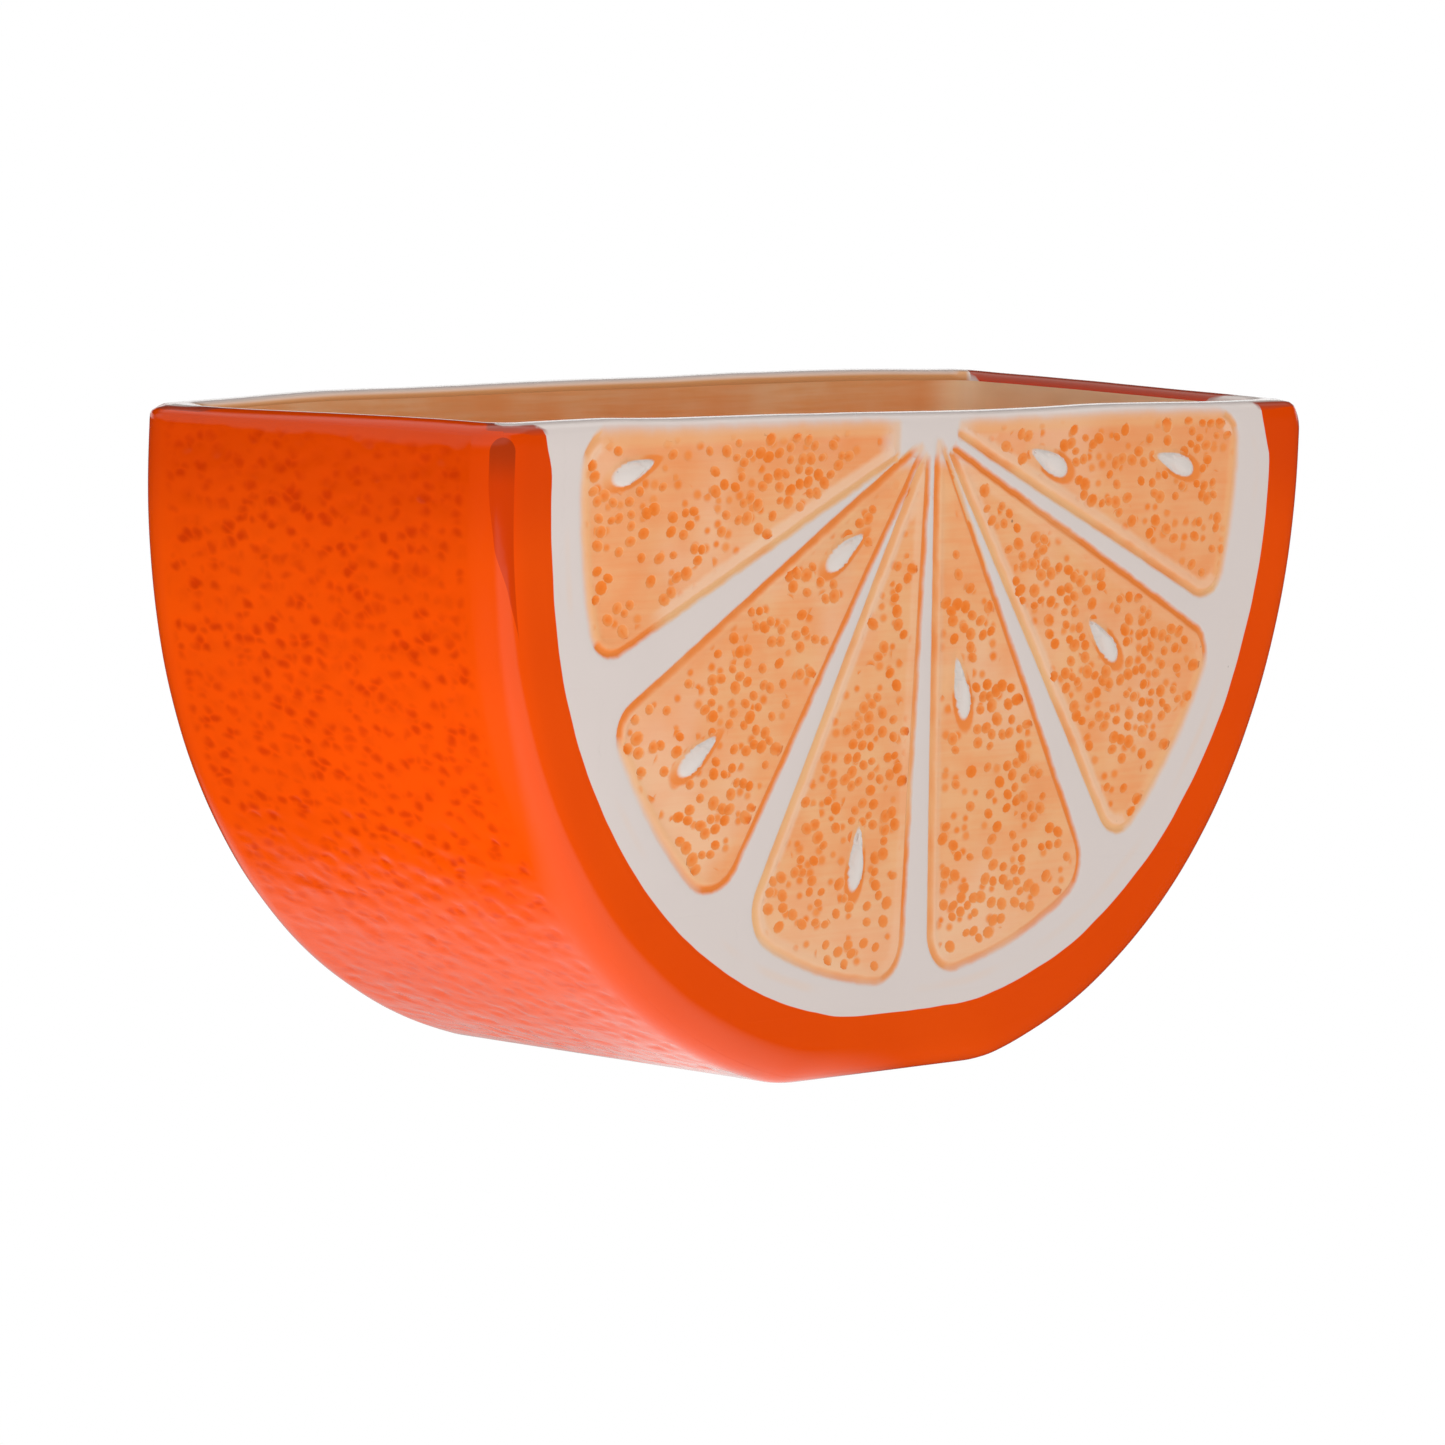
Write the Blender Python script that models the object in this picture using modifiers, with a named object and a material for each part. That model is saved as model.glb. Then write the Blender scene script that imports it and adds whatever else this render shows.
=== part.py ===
"""Glazed ceramic planter in the form of a thick half slice of orange, open at the top.

It is one hollow piece: a slab with a half-round outline, a flat base and an open rim. Both cut
faces carry six segments, each ringed by a groove, with raised seeds. Units are metres, +Z is up,
the cut faces look along -Y and +Y, and the origin is the middle of the base.
"""
import math

import bmesh
import bpy
from mathutils import Matrix, Vector

# The slice from outside
WIDTH = 0.165
HEIGHT = 0.084
DEPTH = 0.0596
DISC_CENTRE = 0.0784      # height of the round's centre above the base
DISC_DROP = 0.0803        # from that centre to where the round would end below the flat base
SQUARENESS = 2.13         # 2 is a plain ellipse, a little more gives fuller shoulders
EDGE_RADIUS = 0.00475     # the rounded edge between rind and cut face
RIM_RADIUS = 0.0011

# The hollow
WALL = 0.0055
FLOOR = 0.0065
INNER_RADIUS = 0.003

# The segments on a cut face. Bearings are degrees from the left end of the rim, turning down.
HUB_HEIGHT = 0.0820       # where the membranes meet, just under the rim
PULP_TOP = 0.0820         # upper side of the first and last segments
PULP_RADIUS = 0.0652      # outer side of all segments, about the disc's centre
SPOKE_NEAR = 0.009        # distances from the hub at which a membrane's two widths are given
SPOKE_FAR = 0.063
MEMBRANES = (             # bearing, sideways shift, width near the hub, width near the rind
    (26.6, 0.0, 0.0019, 0.0074),
    (59.2, -0.0002, 0.0014, 0.0056),
    (91.4, -0.0001, 0.0028, 0.0056),
    (124.5, 0.0008, 0.0014, 0.0062),
    (156.8, -0.0007, 0.0030, 0.0030),
)
CORNER_RADIUS = 0.003
TIP_RADIUS = 0.0011
GROOVE_RADIUS = 0.0006
GROOVE_LIFT = 0.00015     # the groove's round is centred this far outside the face

# The seeds on a cut face: distance from the hub, bearing of the place, bearing of the long axis
SEEDS = (
    (0.0579, 3.5, 15.0),
    (0.0219, 43.2, 29.0),
    (0.0584, 41.8, 31.0),
    (0.0550, 78.2, 83.5),
    (0.0344, 104.8, 105.0),
    (0.0474, 143.3, 139.0),
    (0.0257, 169.5, 158.0),
    (0.0524, 173.9, 165.0),
)
SEED_LENGTH = 0.0080
SEED_WIDTH = 0.0034
SEED_HEIGHT = 0.0009
SEED_SINK = 0.0001
SEED_TAPER = 0.35         # how much narrower the end at the hub is

OUTLINE_STEPS = 34        # points on each half of the outline
ARC_STEP = math.radians(24)


def clear_scene():
    for obj in list(bpy.data.objects):
        bpy.data.objects.remove(obj)


def new_collection(name):
    collection = bpy.data.collections.new(name)
    bpy.context.scene.collection.children.link(collection)
    return collection


def glaze(name, colour, roughness):
    material = bpy.data.materials.new(name)
    material.use_nodes = True
    shader = material.node_tree.nodes["Principled BSDF"]
    shader.inputs["Base Color"].default_value = (*colour, 1.0)
    shader.inputs["Roughness"].default_value = roughness
    shader.inputs["Metallic"].default_value = 0.0
    return material


def slice_outline(inset, bottom, top):
    """Outline of the slice moved in by inset, as (x, z) points.

    It goes straight down from the top to the disc's centre, then round to the flat bottom.
    """
    across = WIDTH / 2 - inset
    drop = DISC_DROP - inset
    last = math.asin(((DISC_CENTRE - bottom) / drop) ** (SQUARENESS / 2))
    right = [(across, top)]
    for step in range(OUTLINE_STEPS):
        turn = last * step / (OUTLINE_STEPS - 1)
        x = across * math.cos(turn) ** (2 / SQUARENESS)
        z = DISC_CENTRE - drop * math.sin(turn) ** (2 / SQUARENESS)
        right.append((x, z))
    left = [(-x, z) for x, z in reversed(right)]
    return right + left


def curve_to_mesh(curve_object, collection):
    """Turns a curve object into a mesh object in world space with its seams welded."""
    graph = bpy.context.evaluated_depsgraph_get()
    mesh = bpy.data.meshes.new_from_object(curve_object.evaluated_get(graph))
    mesh.transform(curve_object.matrix_world)
    name = curve_object.name
    curve = curve_object.data
    bpy.data.objects.remove(curve_object)
    bpy.data.curves.remove(curve)
    shape = bmesh.new()
    shape.from_mesh(mesh)
    bmesh.ops.remove_doubles(shape, verts=shape.verts, dist=1e-6)
    bmesh.ops.recalc_face_normals(shape, faces=shape.faces)
    shape.to_mesh(mesh)
    shape.free()
    solid = bpy.data.objects.new(name, mesh)
    collection.objects.link(solid)
    return solid


def slab(name, outline, thickness, edge_radius, edge_steps, collection):
    """A slab with the given (x, z) outline, centred on Y = 0, with its edges rounded."""
    curve = bpy.data.curves.new(name, 'CURVE')
    curve.dimensions = '2D'
    curve.fill_mode = 'BOTH'
    curve.extrude = thickness / 2
    spline = curve.splines.new('POLY')
    spline.points.add(len(outline) - 1)
    for point, (x, z) in zip(spline.points, outline):
        point.co = (x, z, 0, 1)
    spline.use_cyclic_u = True
    flat = bpy.data.objects.new(name, curve)
    flat.matrix_world = Matrix.Rotation(math.pi / 2, 4, 'X')
    collection.objects.link(flat)
    bpy.context.view_layer.update()
    solid = curve_to_mesh(flat, collection)
    merge_flat_faces(solid.data)
    bevel = solid.modifiers.new("edges", 'BEVEL')
    bevel.width = edge_radius
    bevel.segments = edge_steps
    bevel.limit_method = 'ANGLE'
    bevel.angle_limit = math.radians(60)
    return solid


def merge_flat_faces(mesh):
    shape = bmesh.new()
    shape.from_mesh(mesh)
    bmesh.ops.dissolve_limit(shape, angle_limit=math.radians(0.2), verts=shape.verts, edges=shape.edges)
    shape.to_mesh(mesh)
    shape.free()


def box(name, low, high, collection):
    mesh = bpy.data.meshes.new(name)
    shape = bmesh.new()
    size = Vector(high) - Vector(low)
    middle = (Vector(high) + Vector(low)) / 2
    place = Matrix.Translation(middle) @ Matrix.Diagonal((*size, 1.0))
    bmesh.ops.create_cube(shape, size=1.0, matrix=place)
    shape.to_mesh(mesh)
    shape.free()
    solid = bpy.data.objects.new(name, mesh)
    collection.objects.link(solid)
    return solid


def bearing_vectors(bearing):
    """Unit vectors on the face, away from the hub and square to that, for a bearing in degrees."""
    turn = math.radians(bearing)
    away = Vector((-math.cos(turn), -math.sin(turn)))
    onward = Vector((math.sin(turn), -math.cos(turn)))
    return away, onward


def membrane_side(membrane, side):
    """Two points on one side of a membrane, near the hub and near the rind."""
    bearing, shift, near_width, far_width = membrane
    away, onward = bearing_vectors(bearing)
    hub = Vector((0.0, HUB_HEIGHT))
    near = hub + away * SPOKE_NEAR + onward * (shift + side * near_width / 2)
    far = hub + away * SPOKE_FAR + onward * (shift + side * far_width / 2)
    return near, far


def meet(line_a, line_b):
    """Where two lines meet, each given by two points."""
    start_a, end_a = line_a
    start_b, end_b = line_b
    run_a = end_a - start_a
    run_b = end_b - start_b
    gap = start_b - start_a
    cross = run_a.x * run_b.y - run_a.y * run_b.x
    along = (gap.x * run_b.y - gap.y * run_b.x) / cross
    return start_a + run_a * along


def meet_pulp_edge(line):
    """Where a line from near the hub outwards meets the round outer side of the segments."""
    start, end = line
    run = (end - start).normalized()
    offset = start - Vector((0.0, DISC_CENTRE))
    back = offset.dot(run)
    return start + run * (-back + math.sqrt(back * back - offset.length_squared + PULP_RADIUS ** 2))


def round_corner(before, corner, after, radius):
    """Points of an arc that rounds one corner of an outline."""
    to_before = (before - corner).normalized()
    to_after = (after - corner).normalized()
    half = to_before.angle(to_after) / 2
    centre = corner + (to_before + to_after).normalized() * radius / math.sin(half)
    first = corner + to_before * radius / math.tan(half) - centre
    sweep = math.pi - 2 * half
    if to_before.x * to_after.y - to_before.y * to_after.x > 0:
        sweep = -sweep
    steps = max(2, math.ceil(abs(sweep) / ARC_STEP))
    return [centre + Matrix.Rotation(sweep * step / steps, 2) @ first for step in range(steps + 1)]


def segment_outline(number):
    """Outline of one segment on the face, as (x, z) points: tip, first side, outer arc, last side."""
    level = PULP_TOP
    if number == 0:
        first_side = (Vector((0.0, level)), Vector((-WIDTH / 2, level)))
    else:
        first_side = membrane_side(MEMBRANES[number - 1], 1)
    if number == len(MEMBRANES):
        last_side = (Vector((0.0, level)), Vector((WIDTH / 2, level)))
    else:
        last_side = membrane_side(MEMBRANES[number], -1)
    tip = meet(first_side, last_side)
    first_corner = meet_pulp_edge(first_side)
    last_corner = meet_pulp_edge(last_side)
    centre = Vector((0.0, DISC_CENTRE))
    start = math.atan2(first_corner.y - centre.y, first_corner.x - centre.x) % (2 * math.pi)
    end = math.atan2(last_corner.y - centre.y, last_corner.x - centre.x) % (2 * math.pi)
    if number == len(MEMBRANES):
        end += 2 * math.pi
    arc = []
    arc_points = 5
    for step in range(1, arc_points):
        turn = start + (end - start) * step / arc_points
        arc.append(centre + PULP_RADIUS * Vector((math.cos(turn), math.sin(turn))))
    outline = round_corner(last_corner, tip, first_corner, TIP_RADIUS)
    outline += round_corner(tip, first_corner, arc[0], CORNER_RADIUS)
    outline += arc
    outline += round_corner(arc[-1], last_corner, tip, CORNER_RADIUS)
    return outline


def groove(number, collection):
    """A round bar along a segment's outline that cuts the groove round it."""
    curve = bpy.data.curves.new("groove_%d" % (number + 1), 'CURVE')
    curve.dimensions = '3D'
    curve.bevel_depth = GROOVE_RADIUS
    curve.bevel_resolution = 1
    outline = segment_outline(number)
    spline = curve.splines.new('POLY')
    spline.points.add(len(outline) - 1)
    for point, place in zip(spline.points, outline):
        point.co = (place.x, -DEPTH / 2 - GROOVE_LIFT, place.y, 1)
    spline.use_cyclic_u = True
    bar = bpy.data.objects.new(curve.name, curve)
    collection.objects.link(bar)
    bpy.context.view_layer.update()
    return curve_to_mesh(bar, collection)


def seed(number, collection):
    """A teardrop that stands out of the front face, its narrow end towards the hub."""
    distance, place_bearing, axis_bearing = SEEDS[number]
    away, _ = bearing_vectors(place_bearing)
    along, aside = bearing_vectors(axis_bearing)
    middle = Vector((0.0, HUB_HEIGHT)) + away * distance
    shape = bmesh.new()
    bmesh.ops.create_uvsphere(shape, u_segments=10, v_segments=8, radius=1.0)
    for vert in shape.verts:
        length, width, height = vert.co.z, vert.co.x, vert.co.y
        width *= 1 - SEED_TAPER * (1 - length)
        flat = middle + along * (length * SEED_LENGTH / 2) + aside * (width * SEED_WIDTH / 2)
        vert.co = (flat.x, -DEPTH / 2 + SEED_SINK - height * SEED_HEIGHT, flat.y)
    bmesh.ops.recalc_face_normals(shape, faces=shape.faces)
    mesh = bpy.data.meshes.new("seed_%d" % (number + 1))
    shape.to_mesh(mesh)
    shape.free()
    solid = bpy.data.objects.new(mesh.name, mesh)
    collection.objects.link(solid)
    return solid


def copy_to_back(solid, collection):
    """A copy turned half round, so that the back face shows the same slice as the front."""
    turned = bpy.data.objects.new(solid.name + "_back", solid.data.copy())
    turned.data.transform(Matrix.Rotation(math.pi, 4, 'Z'))
    collection.objects.link(turned)


def combine(target, name, operation, operand):
    boolean = target.modifiers.new(name, 'BOOLEAN')
    boolean.operation = operation
    boolean.solver = 'EXACT'
    if isinstance(operand, bpy.types.Collection):
        boolean.operand_type = 'COLLECTION'
        boolean.collection = operand
    else:
        boolean.object = operand


def apply_modifiers(obj):
    bpy.context.view_layer.update()
    graph = bpy.context.evaluated_depsgraph_get()
    mesh = bpy.data.meshes.new_from_object(obj.evaluated_get(graph))
    obj.modifiers.clear()
    obj.data = mesh


def remove_collection(collection):
    for obj in list(collection.objects):
        bpy.data.objects.remove(obj)
    bpy.data.collections.remove(collection)


def hollow_slice(collection, cutters):
    """The slab with its hollow cut from the top and its rim rounded."""
    spare = 0.012
    body = slab("planter", slice_outline(0.0, 0.0, HEIGHT + spare), DEPTH, EDGE_RADIUS, 4, collection)
    inside = slice_outline(WALL, FLOOR, HEIGHT + 2 * spare)
    cavity = slab("cavity", inside, DEPTH - 2 * WALL, INNER_RADIUS, 3, cutters)
    lid = box("lid", (-WIDTH, -DEPTH, HEIGHT), (WIDTH, DEPTH, 2 * HEIGHT), cutters)
    combine(body, "hollow", 'DIFFERENCE', cavity)
    combine(body, "level rim", 'DIFFERENCE', lid)
    apply_modifiers(body)
    merge_flat_faces(body.data)
    rim = body.modifiers.new("rim", 'BEVEL')
    rim.width = RIM_RADIUS
    rim.segments = 2
    rim.limit_method = 'ANGLE'
    rim.angle_limit = math.radians(60)
    apply_modifiers(body)
    return body


def build():
    clear_scene()
    planter_parts = new_collection("orange_slice_planter")
    cutters = new_collection("cutters")
    grooves = new_collection("grooves")
    seeds = new_collection("seeds")
    body = hollow_slice(planter_parts, cutters)
    for number in range(len(MEMBRANES) + 1):
        copy_to_back(groove(number, grooves), grooves)
    for number in range(len(SEEDS)):
        copy_to_back(seed(number, seeds), seeds)
    combine(body, "segment grooves", 'DIFFERENCE', grooves)
    combine(body, "seeds", 'UNION', seeds)
    apply_modifiers(body)
    for used in (cutters, grooves, seeds):
        remove_collection(used)
    body.data.materials.clear()
    body.data.materials.append(glaze("orange_glaze", (0.80, 0.12, 0.01), 0.2))
    body.data.shade_smooth()
    body.data.set_sharp_from_angle(angle=math.radians(30))


build()
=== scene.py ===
import math

import bmesh
import bpy
import numpy as np
from mathutils import Matrix, Vector, kdtree, noise
from mathutils.geometry import delaunay_2d_cdt


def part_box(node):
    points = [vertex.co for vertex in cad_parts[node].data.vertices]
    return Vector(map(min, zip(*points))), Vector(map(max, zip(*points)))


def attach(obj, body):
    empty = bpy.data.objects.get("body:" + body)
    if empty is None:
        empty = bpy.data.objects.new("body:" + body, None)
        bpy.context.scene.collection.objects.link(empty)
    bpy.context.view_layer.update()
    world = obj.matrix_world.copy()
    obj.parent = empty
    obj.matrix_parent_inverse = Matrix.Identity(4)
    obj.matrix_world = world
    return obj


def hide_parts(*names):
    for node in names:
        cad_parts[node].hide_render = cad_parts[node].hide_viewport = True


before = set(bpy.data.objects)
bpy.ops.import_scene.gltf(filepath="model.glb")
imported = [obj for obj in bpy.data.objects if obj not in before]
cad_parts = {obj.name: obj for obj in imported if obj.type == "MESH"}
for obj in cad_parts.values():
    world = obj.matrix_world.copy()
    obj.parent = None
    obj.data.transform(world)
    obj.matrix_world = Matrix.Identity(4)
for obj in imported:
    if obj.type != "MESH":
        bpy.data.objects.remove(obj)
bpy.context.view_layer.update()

# A glazed ceramic planter in the form of a thick half slice of orange. Lengths in the dictionaries
# are millimetres, and millimetre turns them into Blender's metres where a mesh or a light is made.
millimetre = 0.001

solidLow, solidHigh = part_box("planter")

pot = {
    "width": (solidHigh.x - solidLow.x) / millimetre,
    "height": solidHigh.z / millimetre,
    "depth": 59.6,               # between the cut faces, without the seeds
    "discCentre": 78.4,          # height of the round's centre above the base
    "discDrop": 80.3,            # from there to where the round would end below the flat base
    "squareness": 2.13,          # exponent of the outline, 2 is a plain ellipse
    "edgeRadius": 4.75,
    "rimHeight": 1.1,            # height of the rounded part of the rim
    "wall": 5.5,
    "floor": 6.5,
    "innerRadius": 3.0,
    "cornerBlend": 1.8,          # how softly the flat base runs into the round
}
cutPlane = pot["depth"] / 2                 # distance of either cut face from the middle
rimBase = pot["height"] - pot["rimHeight"]
towardsBack = np.array((1.0, -1.0, 1.0))    # factors that mirror a point, and turn it half round
halfTurned = np.array((-1.0, -1.0, 1.0))

meshSteps = {
    "outline": 0.75,             # along the outline and round the rim
    "fillet": 7,
    "rim": (-1.0, -0.93, -0.72, -0.28, 0.28, 0.72, 0.93, 1.0),   # across the rim, outside to inside
    "rindFine": 0.76,            # where the rind has pores
    "rindCoarse": 1.7,
    "faceFine": 1.25,
    "inside": 5.0,
    "grooveAlong": 0.85,
    "grooveAcross": (-0.85, -0.5, -0.2, 0.2, 0.55, 0.95, 1.4),
}

pulp = {
    "hubHeight": 82.0,
    "top": 82.9,
    "radii": (67.2, 67.3, 66.3, 66.0, 67.1, 65.4),       # of the segments' outer arcs
    "near": 9.0,                 # distances from the hub at which a membrane's two widths are given
    "far": 63.0,
    "membranes": (               # bearing, sideways shift, width near the hub, width near the rind
        (26.1, 0.7, 1.0, 7.0),
        (58.7, 0.6, 1.2, 5.8),
        (90.8, 0.8, 2.0, 5.5),
        (123.8, 1.6, 1.3, 5.8),
        (155.8, 0.9, 2.1, 4.0),
    ),
    "cornerRadii": ((4.2, 4.2), (4.2, 6.2), (5.0, 5.0), (5.0, 5.0), (4.4, 4.4), (4.2, 4.2)),
    "tipRadius": 0.45,
    "bluntTip": 6.0,             # how far from the middle the first and last segments begin
    "lineStep": 0.35,            # between the points of a segment's outline
    "cornerSteps": 14,
    "arcSteps": 40,
    "grooveDepth": 0.36,
    "grooveHalfWidth": 0.62,
    "crestHeight": 0.10,         # the thin ridge just inside a groove
    "crestPlace": 1.02,
    "crestHalfWidth": 0.42,
    "pillow": 0.22,
    "hollow": 0.13,              # how far a segment lies below the white just inside its groove
    "unevenness": 0.06,
}

seeds = {
    "places": (                  # distance from the hub, bearing of the place, bearing of the axis
        (57.9, 3.5, 15.0),
        (21.9, 43.2, 29.0),
        (58.4, 41.8, 31.0),
        (55.0, 78.2, 83.5),
        (34.4, 104.8, 105.0),
        (47.4, 143.3, 139.0),
        (25.7, 169.5, 158.0),
        (52.4, 173.9, 165.0),
    ),
    "length": 8.0,
    "width": 3.4,
    "height": 0.8,
    "taper": 0.35,
    "moat": (0.13, 1.16, 0.24),  # the dip round a seed: its depth, and its place and half width in reaches
    "rings": (0.35, 0.68, 0.88, 1.0, 1.14, 1.4),
    "ringPoints": 22,
}


# Lines on the cut face are (u, z) points: u runs to the right as seen from in front of the face.

def runAlong(line):
    return np.concatenate(([0.0], np.cumsum(np.linalg.norm(np.diff(line, axis=0), axis=1))))


def spaced(line, step):
    run = runAlong(line)
    count = max(2, int(round(run[-1] / step)) + 1)
    even = np.linspace(0.0, run[-1], count)
    return np.stack([np.interp(even, run, line[:, axis]) for axis in range(line.shape[1])], 1)


def sliceOutline(inset, bottom, top):
    half = pot["width"] / 2 - inset
    drop = pot["discDrop"] - inset
    power = 2 / pot["squareness"]
    last = math.asin(((pot["discCentre"] - bottom) / drop) ** (1 / power))
    turn = np.linspace(0.0, last, 900)
    x = np.concatenate(([half], half * np.cos(turn) ** power, [0.0]))
    z = np.concatenate(([top], pot["discCentre"] - drop * np.sin(turn) ** power, [bottom]))
    line = np.concatenate([np.stack([-x, z], 1), np.stack([x, z], 1)[-2::-1]])
    return softened(spaced(line, 0.2), pot["cornerBlend"] / 0.2)


def softened(line, blend):
    # a running average in which a straight end stays straight
    reach = int(3 * blend)
    before = 2 * line[0] - line[reach:0:-1]
    after = 2 * line[-1] - line[-2:-reach - 2:-1]
    padded = np.concatenate([before, line, after])
    weights = np.exp(-0.5 * (np.arange(-reach, reach + 1) / blend) ** 2)
    weights /= weights.sum()
    return np.stack([np.convolve(padded[:, axis], weights, "valid") for axis in range(2)], 1)


def outlineColumns(inset, bottom, step):
    # even points along the outline below the rim, with the directions that point into the slice
    line = sliceOutline(inset, bottom, rimBase)
    along = np.gradient(line, axis=0)
    along /= np.linalg.norm(along, axis=1, keepdims=True)
    both = spaced(np.concatenate([line * 1e3, np.stack([-along[:, 1], along[:, 0]], 1)], 1), step * 1e3)
    normals = both[:, 2:] / np.linalg.norm(both[:, 2:], axis=1, keepdims=True)
    return both[:, :2] / 1e3, normals


def bearingVectors(bearing):
    turn = math.radians(bearing)
    return Vector((-math.cos(turn), -math.sin(turn))), Vector((math.sin(turn), -math.cos(turn)))


def membraneSide(membrane, side):
    bearing, shift, nearWidth, farWidth = membrane
    away, onward = bearingVectors(bearing)
    hub = Vector((0.0, pulp["hubHeight"]))
    near = hub + away * pulp["near"] + onward * (shift + side * nearWidth / 2)
    far = hub + away * pulp["far"] + onward * (shift + side * farWidth / 2)
    return near, far


def meetLines(lineA, lineB):
    runA = lineA[1] - lineA[0]
    runB = lineB[1] - lineB[0]
    gap = lineB[0] - lineA[0]
    cross = runA.x * runB.y - runA.y * runB.x
    return lineA[0] + runA * (gap.x * runB.y - gap.y * runB.x) / cross


def arcBetween(centre, start, end, steps):
    # points from start to end round this centre, the short way
    first = start - centre
    last = end - centre
    sweep = math.atan2(first.x * last.y - first.y * last.x, first.dot(last))
    return [centre + Matrix.Rotation(sweep * step / steps, 2) @ first for step in range(steps + 1)]


def sideMeetsArc(line, side, radius, corner):
    # the rounding between a segment's side and its outer arc: its centre, and its ends on side and arc
    run = (line[1] - line[0]).normalized()
    inward = Vector((-run.y, run.x)) * side
    centre = Vector((0.0, pot["discCentre"]))
    offset = line[0] + inward * corner - centre
    back = offset.dot(run)
    reach = radius - corner
    along = -back + math.sqrt(back * back - offset.length_squared + reach ** 2)
    middle = centre + offset + run * along
    return middle, line[0] + run * along, centre + (middle - centre) * radius / reach


def segmentOutline(number):
    # closed (u, z) outline of one segment: tip, first side, outer arc, last side
    last = len(pulp["membranes"])
    radius = pulp["radii"][number]
    firstCorner, lastCorner = pulp["cornerRadii"][number]
    middle, left, right = (Vector((u, pulp["top"])) for u in (0.0, -pot["width"] / 2, pot["width"] / 2))
    firstSide = membraneSide(pulp["membranes"][number - 1], 1) if number else (middle, left)
    lastSide = membraneSide(pulp["membranes"][number], -1) if number < last else (middle, right)
    firstMiddle, firstOnSide, firstOnArc = sideMeetsArc(firstSide, 1, radius, firstCorner)
    lastMiddle, lastOnSide, lastOnArc = sideMeetsArc(lastSide, -1, radius, lastCorner)
    if number in (0, last):
        cut = pulp["bluntTip"] if number else -pulp["bluntTip"]
        end = (Vector((cut, 0.0)), Vector((cut, 1.0)))
        outline = [meetLines(lastSide, end), meetLines(firstSide, end)]
    else:
        tip = meetLines(firstSide, lastSide)
        toFirst = (firstOnSide - tip).normalized()
        toLast = (lastOnSide - tip).normalized()
        half = toFirst.angle(toLast) / 2
        tipMiddle = tip + (toFirst + toLast).normalized() * pulp["tipRadius"] / math.sin(half)
        reach = pulp["tipRadius"] / math.tan(half)
        outline = arcBetween(tipMiddle, tip + toLast * reach, tip + toFirst * reach, pulp["cornerSteps"])
    outline += arcBetween(firstMiddle, firstOnSide, firstOnArc, pulp["cornerSteps"])
    outline += arcBetween(Vector((0.0, pot["discCentre"])), firstOnArc, lastOnArc, pulp["arcSteps"])
    outline += arcBetween(lastMiddle, lastOnArc, lastOnSide, pulp["cornerSteps"])
    return spaced(np.array([tuple(point) for point in outline + outline[:1]]), pulp["lineStep"])[:-1]


def nearestOnLoop(points, loop):
    # distance to a closed loop, positive inside, and the loop's outward normal where it is nearest
    tree = kdtree.KDTree(len(loop))
    for index, (x, z) in enumerate(loop):
        tree.insert((x, z, 0.0), index)
    tree.balance()
    found = np.array([tree.find((x, z, 0.0))[1] for x, z in points], int)
    following = np.roll(loop, -1, axis=0)
    run = following - loop
    length = np.linalg.norm(run, axis=1)
    outward = np.stack([run[:, 1], -run[:, 0]], 1) / length[:, None]
    outward *= np.sign(np.sum(loop[:, 0] * following[:, 1] - following[:, 0] * loop[:, 1]))
    distance = np.full(len(points), np.inf)
    normal = np.zeros((len(points), 2))
    for its in (found, found - 1):       # the stretches after and before the nearest point
        offset = points - loop[its]
        share = np.clip(np.sum(offset * run[its], 1) / length[its] ** 2, 0.0, 1.0)
        gap = offset - share[:, None] * run[its]
        size = np.linalg.norm(gap, axis=1)
        away = np.sum(gap * (outward[found] + outward[found - 1]), 1)
        closer = size < np.abs(distance)
        distance[closer] = -(size * np.sign(away))[closer]
        normal[closer] = outward[its][closer]
    return distance, normal


segmentOutlines = [segmentOutline(number) for number in range(len(pulp["membranes"]) + 1)]


def pulpField(points):
    # signed distance to the nearest segment's outline, positive inside, and that outline's normal
    distance = np.full(len(points), -1e9)
    normal = np.zeros((len(points), 2))
    for outline in segmentOutlines:
        low = outline.min(0) - 4.0
        high = outline.max(0) + 4.0
        near = np.all((points > low) & (points < high), axis=1)
        if not near.any():
            continue
        itsDistance, itsNormal = nearestOnLoop(points[near], outline)
        closer = itsDistance > distance[near]
        index = np.nonzero(near)[0][closer]
        distance[index] = itsDistance[closer]
        normal[index] = itsNormal[closer]
    return distance, normal


def seedAxes(place):
    # a seed's middle, the direction of its length and the one of its width
    distance, placeBearing, axisBearing = place
    middle = Vector((0.0, pulp["hubHeight"])) + bearingVectors(placeBearing)[0] * distance
    return middle, *bearingVectors(axisBearing)


def seedPoint(place, reach, turn):
    # a point of the seed's ring at this share of its size
    middle, along, aside = seedAxes(place)
    length = math.cos(turn) * reach
    width = math.sin(turn) * reach * (1 - seeds["taper"] * (1 - math.cos(turn)))
    return middle + along * (length * seeds["length"] / 2) + aside * (width * seeds["width"] / 2)


def seedField(points, taper=seeds["taper"]):
    # share of the seed's size at each point, 1 on its outline, and the direction away from the seed
    reach = np.full(len(points), 9.0)
    side = np.zeros((len(points), 2))
    for place in seeds["places"]:
        middle, along, aside = (np.array(vector) for vector in seedAxes(place))
        offset = points - middle
        length = offset @ along / (seeds["length"] / 2)
        width = offset @ aside / (seeds["width"] / 2)
        total = np.maximum(np.hypot(length, width), 1e-6)
        width = width / (1 - taper * (1 - np.clip(length / total, -1, 1)))
        its = np.hypot(length, width)
        closer = its < reach
        reach[closer] = its[closer]
        offset = offset[closer]
        side[closer] = offset / np.maximum(np.linalg.norm(offset, axis=1, keepdims=True), 1e-6)
    return reach, side


def bump(value):
    return np.clip(1 - value * value, 0.0, 1.0) ** 2


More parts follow.
